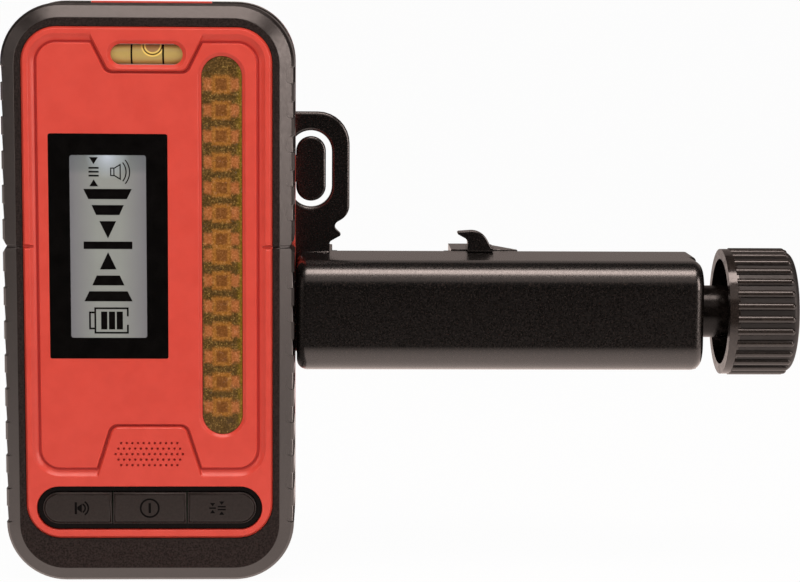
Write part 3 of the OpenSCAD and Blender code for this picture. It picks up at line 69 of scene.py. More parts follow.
def middle(node, axis):
    """Middle coordinate of a node on an axis, in millimetres."""
    return (low(node, axis) + high(node, axis)) / 2


X, Y, Z = 0, 1, 2

KNOB = "clamp_knob"
KNOB_Y, KNOB_Z, KNOB_X1 = middle(KNOB, Y), middle(KNOB, Z), high(KNOB, X)
KNOB_R = (high(KNOB, Z) - low(KNOB, Z)) / 2
KNOB_RIB, KNOB_RIBBED, KNOB_WALL = 1.0, 17.6, 2.2

# The groove's bottom is painted darker, as shade, which starts a little above it and is full just short of it
GROOVE_CURVE, GROOVE_SHADE_EDGE, GROOVE_SHADE_FADE = 0.45, 0.16, 0.12

# Most of a noise lies between these values
NOISE_LOW, NOISE_HIGH = 0.3, 0.7

# Materials


class Paint:
    """A principled material with helpers that add procedural detail."""

    def __init__(self, name, color, rough, metal=0.0, coat=0.0, specular=0.5, coat_rough=0.1):
        self.material = bpy.data.materials.new(name)
        self.material.use_nodes = True
        self.tree = self.material.node_tree
        self.shader = self.tree.nodes["Principled BSDF"]
        self.set("Base Color", (*color, 1.0))
        self.set("Roughness", rough)
        self.set("Metallic", metal)
        self.set("Coat Weight", coat)
        self.set("Coat Roughness", coat_rough)
        self.set("Specular IOR Level", specular)
        self.place = self.tree.nodes.new("ShaderNodeTexCoord").outputs["Object"]
        self.height = None

    def set(self, socket, value):
        self.shader.inputs[socket].default_value = value

    def link(self, source, target):
        self.tree.links.new(source, target)

    def node(self, kind, **values):
        made = self.tree.nodes.new(kind)
        for key, value in values.items():
            setattr(made, key, value)
        return made

    def math(self, operation, a, b=0.0, clamp=False):
        made = self.node("ShaderNodeMath", operation=operation, use_clamp=clamp)
        for socket, value in zip(made.inputs, (a, b)):
            if isinstance(value, (int, float)):
                socket.default_value = value
            else:
                self.link(value, socket)
        return made.outputs[0]

    def reach(self, a, b):
        """Length of the vector with two parts."""
        squares = self.math("ADD", self.math("POWER", a, 2), self.math("POWER", b, 2))
        return self.math("SQRT", squares)

    def fade(self, source, inner, outer):
        """One up to the inner value, falling softly to zero at the outer."""
        made = self.node("ShaderNodeMapRange", interpolation_type="SMOOTHSTEP")
        made.inputs["From Min"].default_value = inner
        made.inputs["From Max"].default_value = outer
        made.inputs["To Min"].default_value = 1.0
        made.inputs["To Max"].default_value = 0.0
        self.link(source, made.inputs["Value"])
        return made.outputs[0]

    def noise(self, grain_mm, detail=3.0):
        """Noise whose grains are about grain_mm across."""
        made = self.node("ShaderNodeTexNoise")
        made.inputs["Scale"].default_value = 1.0 / (grain_mm * MM)
        made.inputs["Detail"].default_value = detail
        self.link(self.place, made.inputs["Vector"])
        return made.outputs["Fac"]

    def ramp(self, factor, *stops):
        """Colour ramp from (position, colour) stops."""
        made = self.node("ShaderNodeValToRGB")
        elements = made.color_ramp.elements
        while len(elements) < len(stops):
            elements.new(0.5)
        for element, (position, color) in zip(elements, stops):
            element.position = position
            element.color = (*color, 1.0)
        self.link(factor, made.inputs["Fac"])
        return made.outputs["Color"]

    def mix(self, factor, a, b):
        made = self.node("ShaderNodeMix", data_type="RGBA")
        for socket, value in ((made.inputs[0], factor), (made.inputs[6], a), (made.inputs[7], b)):
            if isinstance(value, (int, float)):
                socket.default_value = value
            elif isinstance(value, tuple):
                socket.default_value = (*value, 1.0)
            else:
                self.link(value, socket)
        return made.outputs[2]

    def color(self, source):
        self.link(source, self.shader.inputs["Base Color"])
        return self

    def mottle(self, a, b, grain_mm, detail=4.0):
        """Base colour that wanders between two shades."""
        return self.color(self.ramp(self.noise(grain_mm, detail), (0.35, a), (0.65, b)))

    def gloss(self, smooth, rough, grain_mm):
        """Roughness that wanders between two values."""
        made = self.node("ShaderNodeMapRange")
        made.inputs["From Min"].default_value = NOISE_LOW
        made.inputs["From Max"].default_value = NOISE_HIGH
        made.inputs["To Min"].default_value = smooth
        made.inputs["To Max"].default_value = rough
        self.link(self.noise(grain_mm), made.inputs["Value"])
        self.link(made.outputs[0], self.shader.inputs["Roughness"])
        return self

    def bump(self, source, depth_mm, strength=1.0):
        """Adds a relief on top of any earlier one."""
        made = self.node("ShaderNodeBump")
        made.inputs["Strength"].default_value = strength
        made.inputs["Distance"].default_value = depth_mm * MM
        self.link(source, made.inputs["Height"])
        if self.height is not None:
            self.link(self.height, made.inputs["Normal"])
        self.height = made.outputs["Normal"]
        self.link(self.height, self.shader.inputs["Normal"])
        return self

    def grain(self, grain_mm, depth_mm, strength=1.0):
        return self.bump(self.noise(grain_mm, 2.0), depth_mm, strength)

    def axes(self):
        """The place's coordinates in millimetres, as three sockets."""
        scale = self.node("ShaderNodeVectorMath", operation="SCALE")
        scale.inputs["Scale"].default_value = 1.0 / MM
        self.link(self.place, scale.inputs[0])
        split = self.node("ShaderNodeSeparateXYZ")
        self.link(scale.outputs[0], split.inputs[0])
        return split.outputs


def red_plastic(name, groove=None):
    """Red plastic. Between the two levels of a groove it falls away in a curve, to a bottom painted darker as
    shade.
    """
    paint = Paint(name, (0.66, 0.066, 0.044), 0.32)
    base = paint.ramp(paint.noise(5, 4), (0.35, (0.64, 0.063, 0.042)), (0.65, (0.68, 0.071, 0.048)))
    if groove:
        top, bottom = groove
        y = paint.axes()["Y"]
        # painted shade: darker red at the groove's bottom
        painted_shading = paint.math("DIVIDE", paint.math("SUBTRACT", y, bottom - GROOVE_SHADE_EDGE), GROOVE_SHADE_FADE, True)
        base = paint.mix(painted_shading, base, (0.42, 0.022, 0.018))
        rest = paint.math("DIVIDE", paint.math("SUBTRACT", bottom, y), bottom - top, True)
        paint.bump(paint.math("POWER", rest, 2), GROOVE_CURVE)
    return paint.color(base).gloss(0.28, 0.36, 3).grain(0.35, 0.012, 0.45).material


def bumper_rubber():
    """Smooth black rubber."""
    paint = Paint("bumper_rubber", (0.009, 0.007, 0.006), 0.34, coat=0.7, specular=0.9, coat_rough=0.3)
    paint.mottle((0.006, 0.0047, 0.004), (0.013, 0.01, 0.009), 0.6)
    return paint.gloss(0.3, 0.42, 1.2).grain(0.45, 0.012, 0.5).material


def bumper_front():
    """The same rubber with a matt grain."""
    paint = Paint("bumper_front", (0.02, 0.0155, 0.0145), 0.55, specular=0.12)
    paint.mottle((0.01, 0.0078, 0.0073), (0.032, 0.025, 0.0235), 0.5)
    return paint.gloss(0.5, 0.65, 0.8).grain(0.45, 0.02, 0.6).material


def clamp_black():
    """Fine textured coating, black, with brown specks painted in as the glints of its grain."""
    paint = Paint("clamp_black", (0.002, 0.0015, 0.0013), 0.24, coat=1.0, specular=0.9, coat_rough=0.2)
    bare, speck = (0.0008, 0.0006, 0.0005), (0.017, 0.012, 0.01)
    # painted glints: the brown specks stand in for light caught by the grain
    paint.color(paint.ramp(paint.noise(0.5, 3), (0.52, bare), (0.68, speck)))
    return paint.gloss(0.18, 0.4, 0.4).grain(0.5, 0.02, 0.6).material


def knob_black():
    """Black plastic with a mottled tone on the ribs and the rim; between the ribs it is rougher and painted
    near-black as shade.
    """
    paint = Paint("knob_black", (0.007, 0.0055, 0.005), 0.26, specular=1.0)
    x, y, z = paint.axes()
    reach = paint.reach(paint.math("SUBTRACT", y, KNOB_Y), paint.math("SUBTRACT", z, KNOB_Z))
    # painted shade: near-black at the roots between the ribs, fading out towards the rib tops
    share = paint.math("DIVIDE", paint.math("SUBTRACT", reach, KNOB_R - KNOB_RIB), KNOB_RIB, True)
    ribbed = paint.math("GREATER_THAN", x, KNOB_X1 - KNOB_RIBBED)
    wall = paint.math("GREATER_THAN", reach, KNOB_R - KNOB_WALL)
    groove = paint.math("MULTIPLY", paint.math("SUBTRACT", 1.0, share), paint.math("MULTIPLY", ribbed, wall))
    knob_tone = paint.ramp(paint.noise(0.8), (0.3, (0.012, 0.0096, 0.0083)), (0.7, (0.026, 0.021, 0.018)))
    paint.color(paint.mix(groove, knob_tone, (0.001, 0.0008, 0.0007)))
    dull = paint.math("MULTIPLY", groove, 0.4)
    worn_rough = paint.math("MULTIPLY", paint.noise(1.2), 0.3)
    paint.link(paint.math("ADD", dull, worn_rough), paint.shader.inputs["Roughness"])
    return paint.grain(0.4, 0.012, 0.5).material


def hub_shade_black():
    """The same plastic, darker and less glossy, as painted shade on the hub, the cup's inside and the rim's
    flat.
    """
    paint = Paint("hub_shade_black", (0.006, 0.0048, 0.0042), 0.2, specular=0.35)
    paint.mottle((0.004, 0.0032, 0.0028), (0.009, 0.0072, 0.0064), 1.5)
    return paint.gloss(0.12, 0.3, 1.5).grain(0.4, 0.01, 0.5).material


def key_plastic():
    paint = Paint("key_plastic", (0.015, 0.0115, 0.01), 0.36)
    paint.mottle((0.012, 0.009, 0.008), (0.019, 0.0145, 0.0128), 0.7)
    return paint.gloss(0.36, 0.48, 1.2).grain(0.3, 0.012, 0.5).material


def gloss_black():
    paint = Paint("gloss_black", (0.002, 0.0016, 0.0016), 0.3, specular=0.15)
    paint.mottle((0.0014, 0.0011, 0.0011), (0.003, 0.0024, 0.0024), 2)
    return paint.gloss(0.24, 0.36, 2).material


def dark_plastic():
    paint = Paint("dark_plastic", (0.03, 0.028, 0.027), 0.5)
    paint.mottle((0.024, 0.022, 0.021), (0.036, 0.033, 0.032), 4)
    return paint.gloss(0.42, 0.58, 2).grain(0.4, 0.02, 0.5).material


def pad_rubber():
    paint = Paint("pad_rubber", (0.02, 0.02, 0.02), 0.75, specular=0.3)
    paint.mottle((0.015, 0.015, 0.015), (0.028, 0.027, 0.027), 2)
    return paint.gloss(0.66, 0.84, 1.5).grain(0.3, 0.03, 0.6).material


def steel():
    paint = Paint("steel", (0.55, 0.54, 0.52), 0.32, metal=1.0)
    paint.mottle((0.48, 0.47, 0.46), (0.6, 0.59, 0.57), 1.5)
    return paint.gloss(0.22, 0.42, 0.8).grain(0.25, 0.008, 0.4).material


def brass():
    paint = Paint("brass", (0.72, 0.5, 0.2), 0.3, metal=1.0)
    paint.mottle((0.66, 0.44, 0.16), (0.76, 0.54, 0.24), 2)
    return paint.gloss(0.22, 0.4, 1).grain(0.3, 0.01, 0.4).material


def board_green():
    paint = Paint("board_green", (0.02, 0.14, 0.06), 0.4, coat=0.3)
    paint.mottle((0.016, 0.11, 0.045), (0.03, 0.17, 0.075), 3)
    return paint.gloss(0.3, 0.48, 1).material


def white_plastic():
    paint = Paint("white_plastic", (0.78, 0.78, 0.75), 0.45)
    paint.mottle((0.74, 0.74, 0.71), (0.8, 0.8, 0.78), 4)
    return paint.gloss(0.4, 0.5, 2).material


def contact_metal():
    paint = Paint("contact_metal", (0.62, 0.6, 0.52), 0.28, metal=1.0)
    paint.mottle((0.56, 0.53, 0.46), (0.66, 0.64, 0.56), 1.5)
    return paint.gloss(0.2, 0.36, 1).material


def diode_dark():
    paint = Paint("diode_dark", (0.04, 0.03, 0.025), 0.2)
    paint.mottle((0.03, 0.022, 0.018), (0.05, 0.038, 0.03), 1)
    return paint.material


def cell_wrap():
    """Battery sleeve: a dark wrap with a copper band at the button's end."""
    paint = Paint("cell_wrap", (0.03, 0.03, 0.035), 0.3, coat=0.4)
    z = paint.axes()["Z"]
    bottom, top = low("battery_cells", Z), high("battery_cells", Z)
    share = paint.math("DIVIDE", paint.math("SUBTRACT", z, bottom), top - bottom)
    copper, dark, bare = (0.5, 0.24, 0.09), (0.03, 0.03, 0.035), (0.6, 0.6, 0.58)
    button_end = ((0.02, bare), (0.03, copper), (0.27, copper))
    flat_end = ((0.28, dark), (0.96, dark), (0.97, bare))
    paint.color(paint.ramp(share, *button_end, *flat_end))
    return paint.gloss(0.24, 0.36, 3).material


# Piece makers


def finish_piece(piece, body, slot=None, stands_for=()):
    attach(piece, body)
    if stands_for:
        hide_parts(*stands_for)
    return piece


def shade(mesh):
    mesh.polygons.foreach_set("use_smooth", [True] * len(mesh.polygons))


def paint_node(node, material):
    """Carries a solid over as it is, with a material."""
    piece = NODES[node]
    piece.data.materials.clear()
    piece.data.materials.append(material)
    return piece


WELD = 0.002 * MM
FLAT, SHARP, BEVELLED = math.radians(0.4), math.radians(20), math.radians(22)


def skin(node, material, bevel_mm, segments=2, weigh=None, second=None, where=None):
    """Copy of a solid with softened edges. weigh(edge) gives each edge's share of the bevel.

    Faces for which where(face) holds get the second material.
    """
    mesh = NODES[node].data.copy()
    mesh.name = node + "_skin"
    shape = bmesh.new()
    shape.from_mesh(mesh)
    bmesh.ops.remove_doubles(shape, verts=shape.verts, dist=WELD)
    bmesh.ops.dissolve_limit(shape, angle_limit=FLAT, verts=shape.verts, edges=shape.edges)
    share = shape.edges.layers.float.new("bevel_weight_edge")
    for edge in shape.edges:
        bend = edge.calc_face_angle(0.0) if len(edge.link_faces) == 2 else 0.0
        edge.smooth = bend < SHARP
        if bend > BEVELLED:
            edge[share] = weigh(edge) if weigh else 1.0
    mesh.materials.clear()
    mesh.materials.append(material)
    if second:
        mesh.materials.append(second)
        for face in shape.faces:
            face.material_index = 1 if where(face) else 0
    shape.to_mesh(mesh)
    shape.free()
    shade(mesh)
    piece = bpy.data.objects.new(node + "_skin", mesh)
    bpy.context.scene.collection.objects.link(piece)
    if bevel_mm:
        soft = piece.modifiers.new("soft_edges", "BEVEL")
        soft.width = bevel_mm * MM
        soft.segments = segments
        soft.limit_method = "WEIGHT"
        soft.use_clamp_overlap = False
        flat = piece.modifiers.new("flat_faces", "WEIGHTED_NORMAL")
        flat.keep_sharp = True
    return finish_piece(piece, BODY_OF[node], SLOT_OF[node], [node])


ALONG = 0.01


def long_edges(least_mm):
    """Bevel shares that leave out short edges and the edges of holes, which run along Y."""

    def weigh(edge):
        way = (edge.verts[1].co - edge.verts[0].co) / MM
        along_y = math.hypot(way.x, way.z) < ALONG
        return 0.0 if along_y or way.length < least_mm else 1.0

    return weigh


def new_piece(name, verts, faces, material, body, slot=None, stands_for=()):
    """Mesh piece from points in millimetres."""
    mesh = bpy.data.meshes.new(name)
    mesh.from_pydata([Vector(v) * MM for v in verts], [], faces)
    mesh.validate()
    shape = bmesh.new()
    shape.from_mesh(mesh)
    bmesh.ops.recalc_face_normals(shape, faces=shape.faces)
    shape.to_mesh(mesh)
    shape.free()
    mesh.materials.append(material)
    piece = bpy.data.objects.new(name, mesh)
    bpy.context.scene.collection.objects.link(piece)
    return finish_piece(piece, body, slot, stands_for)


def inlay(name, outlines, y0, y1, material, body, slot=None):
    """Flat shapes in the front view, given as outlines in millimetres, from y0 back to y1."""
    verts, faces = [], []
    for outline in outlines:
        n, first = len(outline), len(verts)
        verts += [(x, y0, z) for x, z in outline] + [(x, y1, z) for x, z in outline]
        faces.append(tuple(range(first, first + n)))
        faces.append(tuple(range(first + n, first + 2 * n)))
        for i in range(n):
            j = (i + 1) % n
            faces.append((first + i, first + j, first + n + j, first + n + i))
    return new_piece(name, verts, faces, material, body, slot)


def box_outline(x0, x1, z0, z1):
    return [(x0, z0), (x1, z0), (x1, z1), (x0, z1)]


def wedge(x, z0, half0, z1, half1):
    """Trapezium or triangle about x, half0 wide at z0 and half1 wide at z1."""
    ends = [(x - half0, z0), (x + half0, z0)] if half0 else [(x, z0)]
    tops = [(x + half1, z1), (x - half1, z1)] if half1 else [(x, z1)]
    return ends + tops


def arc(x, z, r, start, end, steps=20):
    """Points of an arc in degrees."""
    turn = [math.radians(start + (end - start) * i / steps) for i in range(steps + 1)]
    return [(x + r * math.cos(a), z + r * math.sin(a)) for a in turn]


def band(x, z, r, width, start, end, steps=20):
    """Arc-shaped stroke."""
    return arc(x, z, r + width / 2, start, end, steps) + arc(x, z, r - width / 2, end, start, steps)


MITRE_LEAST = 0.3


def stroke(points, width, closed=False):
    """Quads that follow a line, with mitred corners."""
    n = len(points)
    places = [Vector(p) for p in points]
    sides = []
    for i, here in enumerate(places):
        before = places[i - 1] if closed or i > 0 else None
        after = places[(i + 1) % n] if closed or i < n - 1 else None
        pairs = [pair for pair in ((before, here), (here, after)) if None not in pair]
        ways = [(end - start).normalized() for start, end in pairs]
        normals = [Vector((-w.y, w.x)) for w in ways]
        mid = sum(normals, Vector((0, 0))).normalized()
        reach = width / 2 / max(mid.dot(normals[0]), MITRE_LEAST)
        sides.append((here + mid * reach, here - mid * reach))
    last = n if closed else n - 1
    quads = []
    for i in range(last):
        a, b = sides[i], sides[(i + 1) % n]
        quads.append([tuple(a[0]), tuple(b[0]), tuple(b[1]), tuple(a[1])])
    return quads


# Case

red = red_plastic("red_plastic")
rubber = bumper_rubber()
black = clamp_black()
dark = dark_plastic()
metal = steel()

FRONT_Y, FIELD_Y, GROOVE_Y = -17.0, -16.8, -16.0
LEVEL_SLACK, FRONT_LEAST, FLAT_LEAST, WALL_MOST = 0.02, 0.97, 0.999, 0.1
KEYS_TOP = high("power_key", Z) + 3
WINDOW_X0, WINDOW_X1 = low("display_window", X) - 1, high("display_window", X) + 1
WINDOW_Z0, WINDOW_Z1 = low("display_window", Z) - 1, high("display_window", Z) + 1
HOLE_STEP = 0.22
TAB_SHARE, FIELD_SHARE, PLAIN_SHARE = 1.0, 0.4, 0.27
plain_edges = long_edges(0.55)


def steps_down(edge, level):
    """Whether an edge joins the flat at a level with a wall that goes straight back."""
    if len(edge.link_faces) != 2 or any(abs(v.co.y / MM - level) > LEVEL_SLACK for v in edge.verts):
        return False
    flat, wall = sorted(edge.link_faces, key=lambda face: face.normal.y)
    return flat.normal.y < -FLAT_LEAST and abs(wall.normal.y) < WALL_MOST


def in_window(edge):
    place = (edge.verts[0].co + edge.verts[1].co) / (2 * MM)
    return WINDOW_X0 < place.x < WINDOW_X1 and WINDOW_Z0 < place.z < WINDOW_Z1


def shell_edges(edge):
    """Bevel shares: most on the tabs, less on the field's rim, little elsewhere."""
    if edge.calc_length() / MM < HOLE_STEP:
        return 0.0
    if steps_down(edge, FRONT_Y) and edge.verts[0].co.z / MM > KEYS_TOP:
        return TAB_SHARE
    if steps_down(edge, FIELD_Y) and not in_window(edge):
        return FIELD_SHARE
    return PLAIN_SHARE * plain_edges(edge)


def looks_front(face):
    return face.normal.y < -FRONT_LEAST


skin("front_shell", red_plastic("red_front", (FRONT_Y, GROOVE_Y)), 0.6, weigh=shell_edges)
GRILLE_Y0, GRILLE_Y1 = -16.4, -16.2
GRILLE_MOST = 1.0
DISC_STEPS = 20


def small_holes(node, level):
    """Centres and radii of the small round holes in a node's flat at a level."""
    shape = bmesh.new()
    shape.from_mesh(NODES[node].data)
    bmesh.ops.remove_doubles(shape, verts=shape.verts, dist=WELD)
    steps = [edge for edge in shape.edges if steps_down(edge, level)]
    groups = []
    for edge in [step for step in steps if step.calc_length() / MM < HOLE_STEP]:
        place = (edge.verts[0].co + edge.verts[1].co) / (2 * MM)
        spot = Vector((place.x, place.z))
        near = [group for group in groups if (group[0] - spot).length < GRILLE_MOST]
        if near:
            near[0].append(spot)
        else:
            groups.append([spot])
    shape.free()
    holes = []
    for group in groups:
        centre = sum(group, Vector((0, 0))) / len(group)
        holes.append((centre.x, centre.y, max((spot - centre).length for spot in group)))
    return holes


def grille_hole_shade():
    """Dark red discs set in the small holes as painted shade of their insides."""
    paint = Paint("grille_hole_shade", (0.5, 0.035, 0.024), 0.8)
    paint.mottle((0.42, 0.028, 0.02), (0.56, 0.042, 0.03), 0.3)
    return paint.grain(0.2, 0.03, 0.8).material


disc_end = 360 - 360 / DISC_STEPS
holes = small_holes("front_shell", FRONT_Y)
discs = [arc(x, z, r, 0, disc_end, DISC_STEPS - 1) for x, z, r in holes]
# painted shade: dark red discs inside the grille holes
inlay("grille_hole_shade", discs, GRILLE_Y0, GRILLE_Y1, grille_hole_shade(), ROOT, "red_plastic")
skin("rear_shell", red, 0.2, weigh=plain_edges)
skin("front_bumper", rubber, 0.18, weigh=long_edges(0.4), second=bumper_front(), where=looks_front)
skin("corner_guards", rubber, 0.2, weigh=long_edges(0.4))
skin("battery_door", red, 0.2, weigh=long_edges(0.4))
for material, nodes in (
    (rubber, ("shell_gasket", "door_seal")),
    (metal, ("shell_screws", "door_pin")),
    (cell_wrap(), ("battery_cells",)),
    (contact_metal(), ("battery_contacts",)),
    (board_green(), ("main_board", "sensor_board")),
    (diode_dark(), ("photodiodes",)),
    (dark, ("speaker", "key_switches", "display_module")),
    (white_plastic(), ("vial_clip",)),
):
    for node in nodes:
        paint_node(node, material)

# Display

PANE_Y0, PANE_Y1 = low("display_window", Y), high("display_window", Y)
PANE_X, GRADE = middle("display_window", X), middle("display_window", Z)
PANE_W = high("display_window", X) - low("display_window", X)
PANE_H = high("display_window", Z) - low("display_window", Z)
BORDER = 5.95
PANE_R = 0.5
FACE_W, FACE_H = PANE_W - 2 * BORDER, PANE_H - 2 * BORDER
FACE_R = 0.7
FACE_SINK = 0.06
LAMP_DEPTH = 11
WHITE, BLACK = (1.0, 1.0, 1.0), (0.0, 0.0, 0.0)


def rounded(x, z, w, h, r, steps=6):
    """Outline of a rectangle with round corners."""
    points = []
    for sx, sz, start in ((1, 1, 0), (-1, 1, 90), (-1, -1, 180), (1, -1, 270)):
        points += arc(x + sx * (w / 2 - r), z + sz * (h / 2 - r), r, start, start + 90, steps)
    return points


def frame_verts_faces(outer, inner, y0, y1):
    """Points and faces of a flat ring between two outlines with as many points each."""
    n = len(outer)
    verts = [(x, y, z) for y in (y0, y1) for loop in (outer, inner) for x, z in loop]
    faces = []
    for i in range(n):
        j = (i + 1) % n
        faces.append((i, j, n + j, n + i))
        faces.append((2 * n + i, 2 * n + j, 3 * n + j, 3 * n + i))
        faces.append((i, j, 2 * n + j, 2 * n + i))
        faces.append((n + i, n + j, 3 * n + j, 3 * n + i))
    return verts, faces


def display_glass():
    paint = Paint("display_glass", (0.002, 0.002, 0.002), 0.1)
    paint.mottle((0.0015, 0.0015, 0.0015), (0.003, 0.003, 0.003), 4)
    return paint.gloss(0.06, 0.14, 5).material


def display_face():
    """Grey display with a green cast, lit by its lamp at the top and a little bluer at its sides."""
    paint = Paint("display_face", (0.27, 0.31, 0.3), 0.3)
    x, _, z = paint.axes()
    top = GRADE + FACE_H / 2
    aside = paint.math("DIVIDE", paint.math("SUBTRACT", x, PANE_X), FACE_W / 2)
    body = paint.ramp(paint.math("ABSOLUTE", aside), (0.3, (0.28, 0.335, 0.325)), (0.95, (0.19, 0.215, 0.24)))
    down = paint.math("DIVIDE", paint.math("SUBTRACT", top, z), LAMP_DEPTH)
    shade_top = paint.ramp(down, (0.0, (0.7, 0.76, 0.78)), (0.35, (0.8, 0.84, 0.85)), (0.5, WHITE))
    made = paint.node("ShaderNodeMix", data_type="RGBA", blend_type="MULTIPLY")
    made.inputs[0].default_value = 1.0
    paint.link(body, made.inputs[6])
    paint.link(shade_top, made.inputs[7])
    reach = paint.reach(paint.math("MULTIPLY", aside, 1.7), paint.math("MULTIPLY", down, 1.6))
    lamp = paint.ramp(reach, (0.0, (0.95, 0.95, 0.95)), (0.45, (0.45, 0.45, 0.45)), (1.0, BLACK))
    cloud = paint.ramp(paint.noise(7), (NOISE_LOW, BLACK), (NOISE_HIGH, (0.05, 0.05, 0.05)))
    lit = paint.mix(lamp, made.outputs[2], (0.54, 0.69, 0.82))
    return paint.color(paint.mix(cloud, lit, (0.12, 0.13, 0.13))).material


def ink(name):
    paint = Paint(name, (0.002, 0.002, 0.002), 0.5, specular=0.08)
    paint.mottle((0.0014, 0.0014, 0.0014), (0.003, 0.003, 0.003), 2)
    return paint.material


glass = display_glass()
outer_edge = rounded(PANE_X, GRADE, PANE_W, PANE_H, PANE_R)
inner_edge = rounded(PANE_X, GRADE, FACE_W, FACE_H, FACE_R)
border = frame_verts_faces(outer_edge, inner_edge, PANE_Y0, PANE_Y1)
new_piece("display_border", *border, glass, ROOT, "display_glass", ["display_window"])
face_y = PANE_Y0 + FACE_SINK
inlay("display_face", [inner_edge], face_y, PANE_Y1, display_face(), ROOT, "display_grey")


SIGHT_X, SIGHT_Z = PANE_X - 0.12, GRADE + 0.45
GRADE_BAR_HALF = (6.85, 1.05)
SYMBOL_PROUD, SYMBOL_SUNK = 0.03, 0.1

# Each arrow piece: where it starts above the grade bar, its half width there, its end and half width there
ARROWS = ((1.95, 0, 6.85, 2.35), (8.6, 3.25, 11.4, 4.54), (13.1, 5.4, 15.95, 6.8))


def display_symbols():
    """Arrows towards the grade bar, precision and sound marks, and the battery."""
    x, z = SIGHT_X, SIGHT_Z
    half_w, half_h = GRADE_BAR_HALF
    shapes = [box_outline(x - half_w, x + half_w, z - half_h, z + half_h)]
    for side in (1, -1):
        for start, half0, end, half1 in ARROWS:
            shapes.append(wedge(x, z + side * start, half0, z + side * end, half1))
    mark_x, mark_z = x - 3.85, z + 20.8
    for side in (1, -1):
        shapes.append(wedge(mark_x, mark_z + side * 2.15, 0, mark_z + side * 4.1, 1.22))
    for row in (-1, 0, 1):
        rise = mark_z + row * 1.1
        shapes.append(box_outline(mark_x - 1.42, mark_x + 1.42, rise - 0.24, rise + 0.24))
    shapes += sound_mark(x + 0.95, mark_z, 0.32)
    return shapes + battery_mark(x, z, 0.5)


def sound_mark(x, z, line):
    """Outlined loudspeaker with two waves."""
    box = [(x, z - 1.05), (x + 0.9, z - 1.05), (x + 0.9, z + 1.05), (x, z + 1.05)]
    cone = [(x + 0.95, z - 1.0), (x + 2.65, z - 2.05), (x + 2.65, z + 2.05), (x + 0.95, z + 1.0)]
    waves = [band(x + 0.2, z, 4.1, line, -40, 40), band(x + 0.2, z, 5.1, line, -41, 41)]
    return stroke(box, line, True) + stroke(cone, line) + waves


def battery_mark(x, z, line):
    """Battery outline, open where its charge is short, with three bars."""
    left, right, bottom, top = x - 3.8, x + 5.4, z - 24.95, z - 17.95
    centre = (bottom + top) / 2
    can = [(right, centre + 1.2), (right, top), (left, top)]
    can += [(left, bottom), (right, bottom), (right, centre - 1.2)]
    tip, half_tip = left - 1.5, 2.3
    button = [(left - 0.25, centre + half_tip), (tip, centre + half_tip)]
    button += [(tip, centre - half_tip), (left - 0.25, centre - half_tip)]
    shapes = stroke(can, line) + stroke(button, line)
    for bar in range(3):
        edge = left + 1.65 + bar * 2.2
        shapes.append(box_outline(edge, edge + 1.75, centre - 2.55, centre + 2.55))
    return shapes


symbol_y0, symbol_y1 = face_y - SYMBOL_PROUD, face_y + SYMBOL_SUNK
display_ink = ink("display_ink")
inlay("display_symbols", display_symbols(), symbol_y0, symbol_y1, display_ink, ROOT, "display_glass")

# Sensor strip

STRIP_X, STRIP_Z = middle("sensor_window", X), middle("sensor_window", Z)
DIODE_FIRST = 2.3
DIODE_PITCH = 7.271
DIODE_LAST = 6
DIODE_ASIDE = 0.15
PAD_ASIDE, PAD_HALF_X, PAD_HALF_Z = 3.75, 1.3, 1.75
MOSS_EDGE = 5.6
SPECK_STOPS = (0.36, 0.6, 0.74)
OLIVE_STOPS = (0.36, 0.58, 0.72)


def sensor_amber():
    """Tinted window with the photodiodes showing through it, softened by the frosted back."""
    paint = Paint("sensor_amber", (0.1, 0.05, 0.012), 0.2)
    x, _, z = paint.axes()
    across = paint.math("ABSOLUTE", paint.math("SUBTRACT", x, STRIP_X - DIODE_ASIDE))
    off = paint.math("SUBTRACT", paint.math("ABSOLUTE", paint.math("SUBTRACT", z, STRIP_Z)), DIODE_FIRST)
    count = paint.math("MINIMUM", paint.math("ROUND", paint.math("DIVIDE", off, DIODE_PITCH)), DIODE_LAST)
    nearest = paint.math("MULTIPLY", paint.math("MAXIMUM", count, 0), DIODE_PITCH)
    along = paint.math("ABSOLUTE", paint.math("SUBTRACT", off, nearest))
    wander = paint.math("MULTIPLY", paint.math("SUBTRACT", paint.noise(0.9, 4), 0.5), 2.2)
    box = paint.math("MAXIMUM", across, along)
    square = paint.math("ADD", box, paint.math("MULTIPLY", wander, 0.35))
    halo = paint.math("ADD", box, paint.math("MULTIPLY", wander, 0.6))
    off_pad = paint.math("ABSOLUTE", paint.math("SUBTRACT", across, PAD_ASIDE))
    aside = paint.math("DIVIDE", off_pad, PAD_HALF_X)
    pads = paint.math("MAXIMUM", aside, paint.math("DIVIDE", along, PAD_HALF_Z))
    pads = paint.math("ADD", pads, paint.math("MULTIPLY", wander, 0.5))
    speck = paint.noise(0.42, 6)

    def specked(*shades, stops=SPECK_STOPS):
        return paint.ramp(speck, *zip(stops, shades))

    olive = specked((0.055, 0.034, 0.008), (0.125, 0.074, 0.018), (0.34, 0.24, 0.06), stops=OLIVE_STOPS)
    amber = specked((0.25, 0.105, 0.014), (0.37, 0.17, 0.03), (0.52, 0.31, 0.1))
    pink = specked((0.28, 0.098, 0.024), (0.42, 0.16, 0.05), (0.56, 0.3, 0.12))
    umber = specked((0.14, 0.055, 0.01), (0.22, 0.09, 0.02), (0.36, 0.19, 0.06))
    moss = specked((0.13, 0.09, 0.004), (0.22, 0.155, 0.01), (0.38, 0.29, 0.05))
    right = paint.math("ADD", paint.math("SUBTRACT", STRIP_X + MOSS_EDGE, x), wander)
    layer = paint.mix(paint.fade(right, -0.4, 2.2), olive, moss)
    layer = paint.mix(paint.fade(pads, 0.55, 1.35), layer, pink)
    layer = paint.mix(paint.fade(halo, 2.0, 3.2), layer, amber)
    layer = paint.mix(paint.fade(square, 1.25, 1.95), layer, umber)
    paint.color(layer)
    return paint.gloss(0.16, 0.3, 2).material


skin("sensor_window", sensor_amber(), 0.12)

# Vial

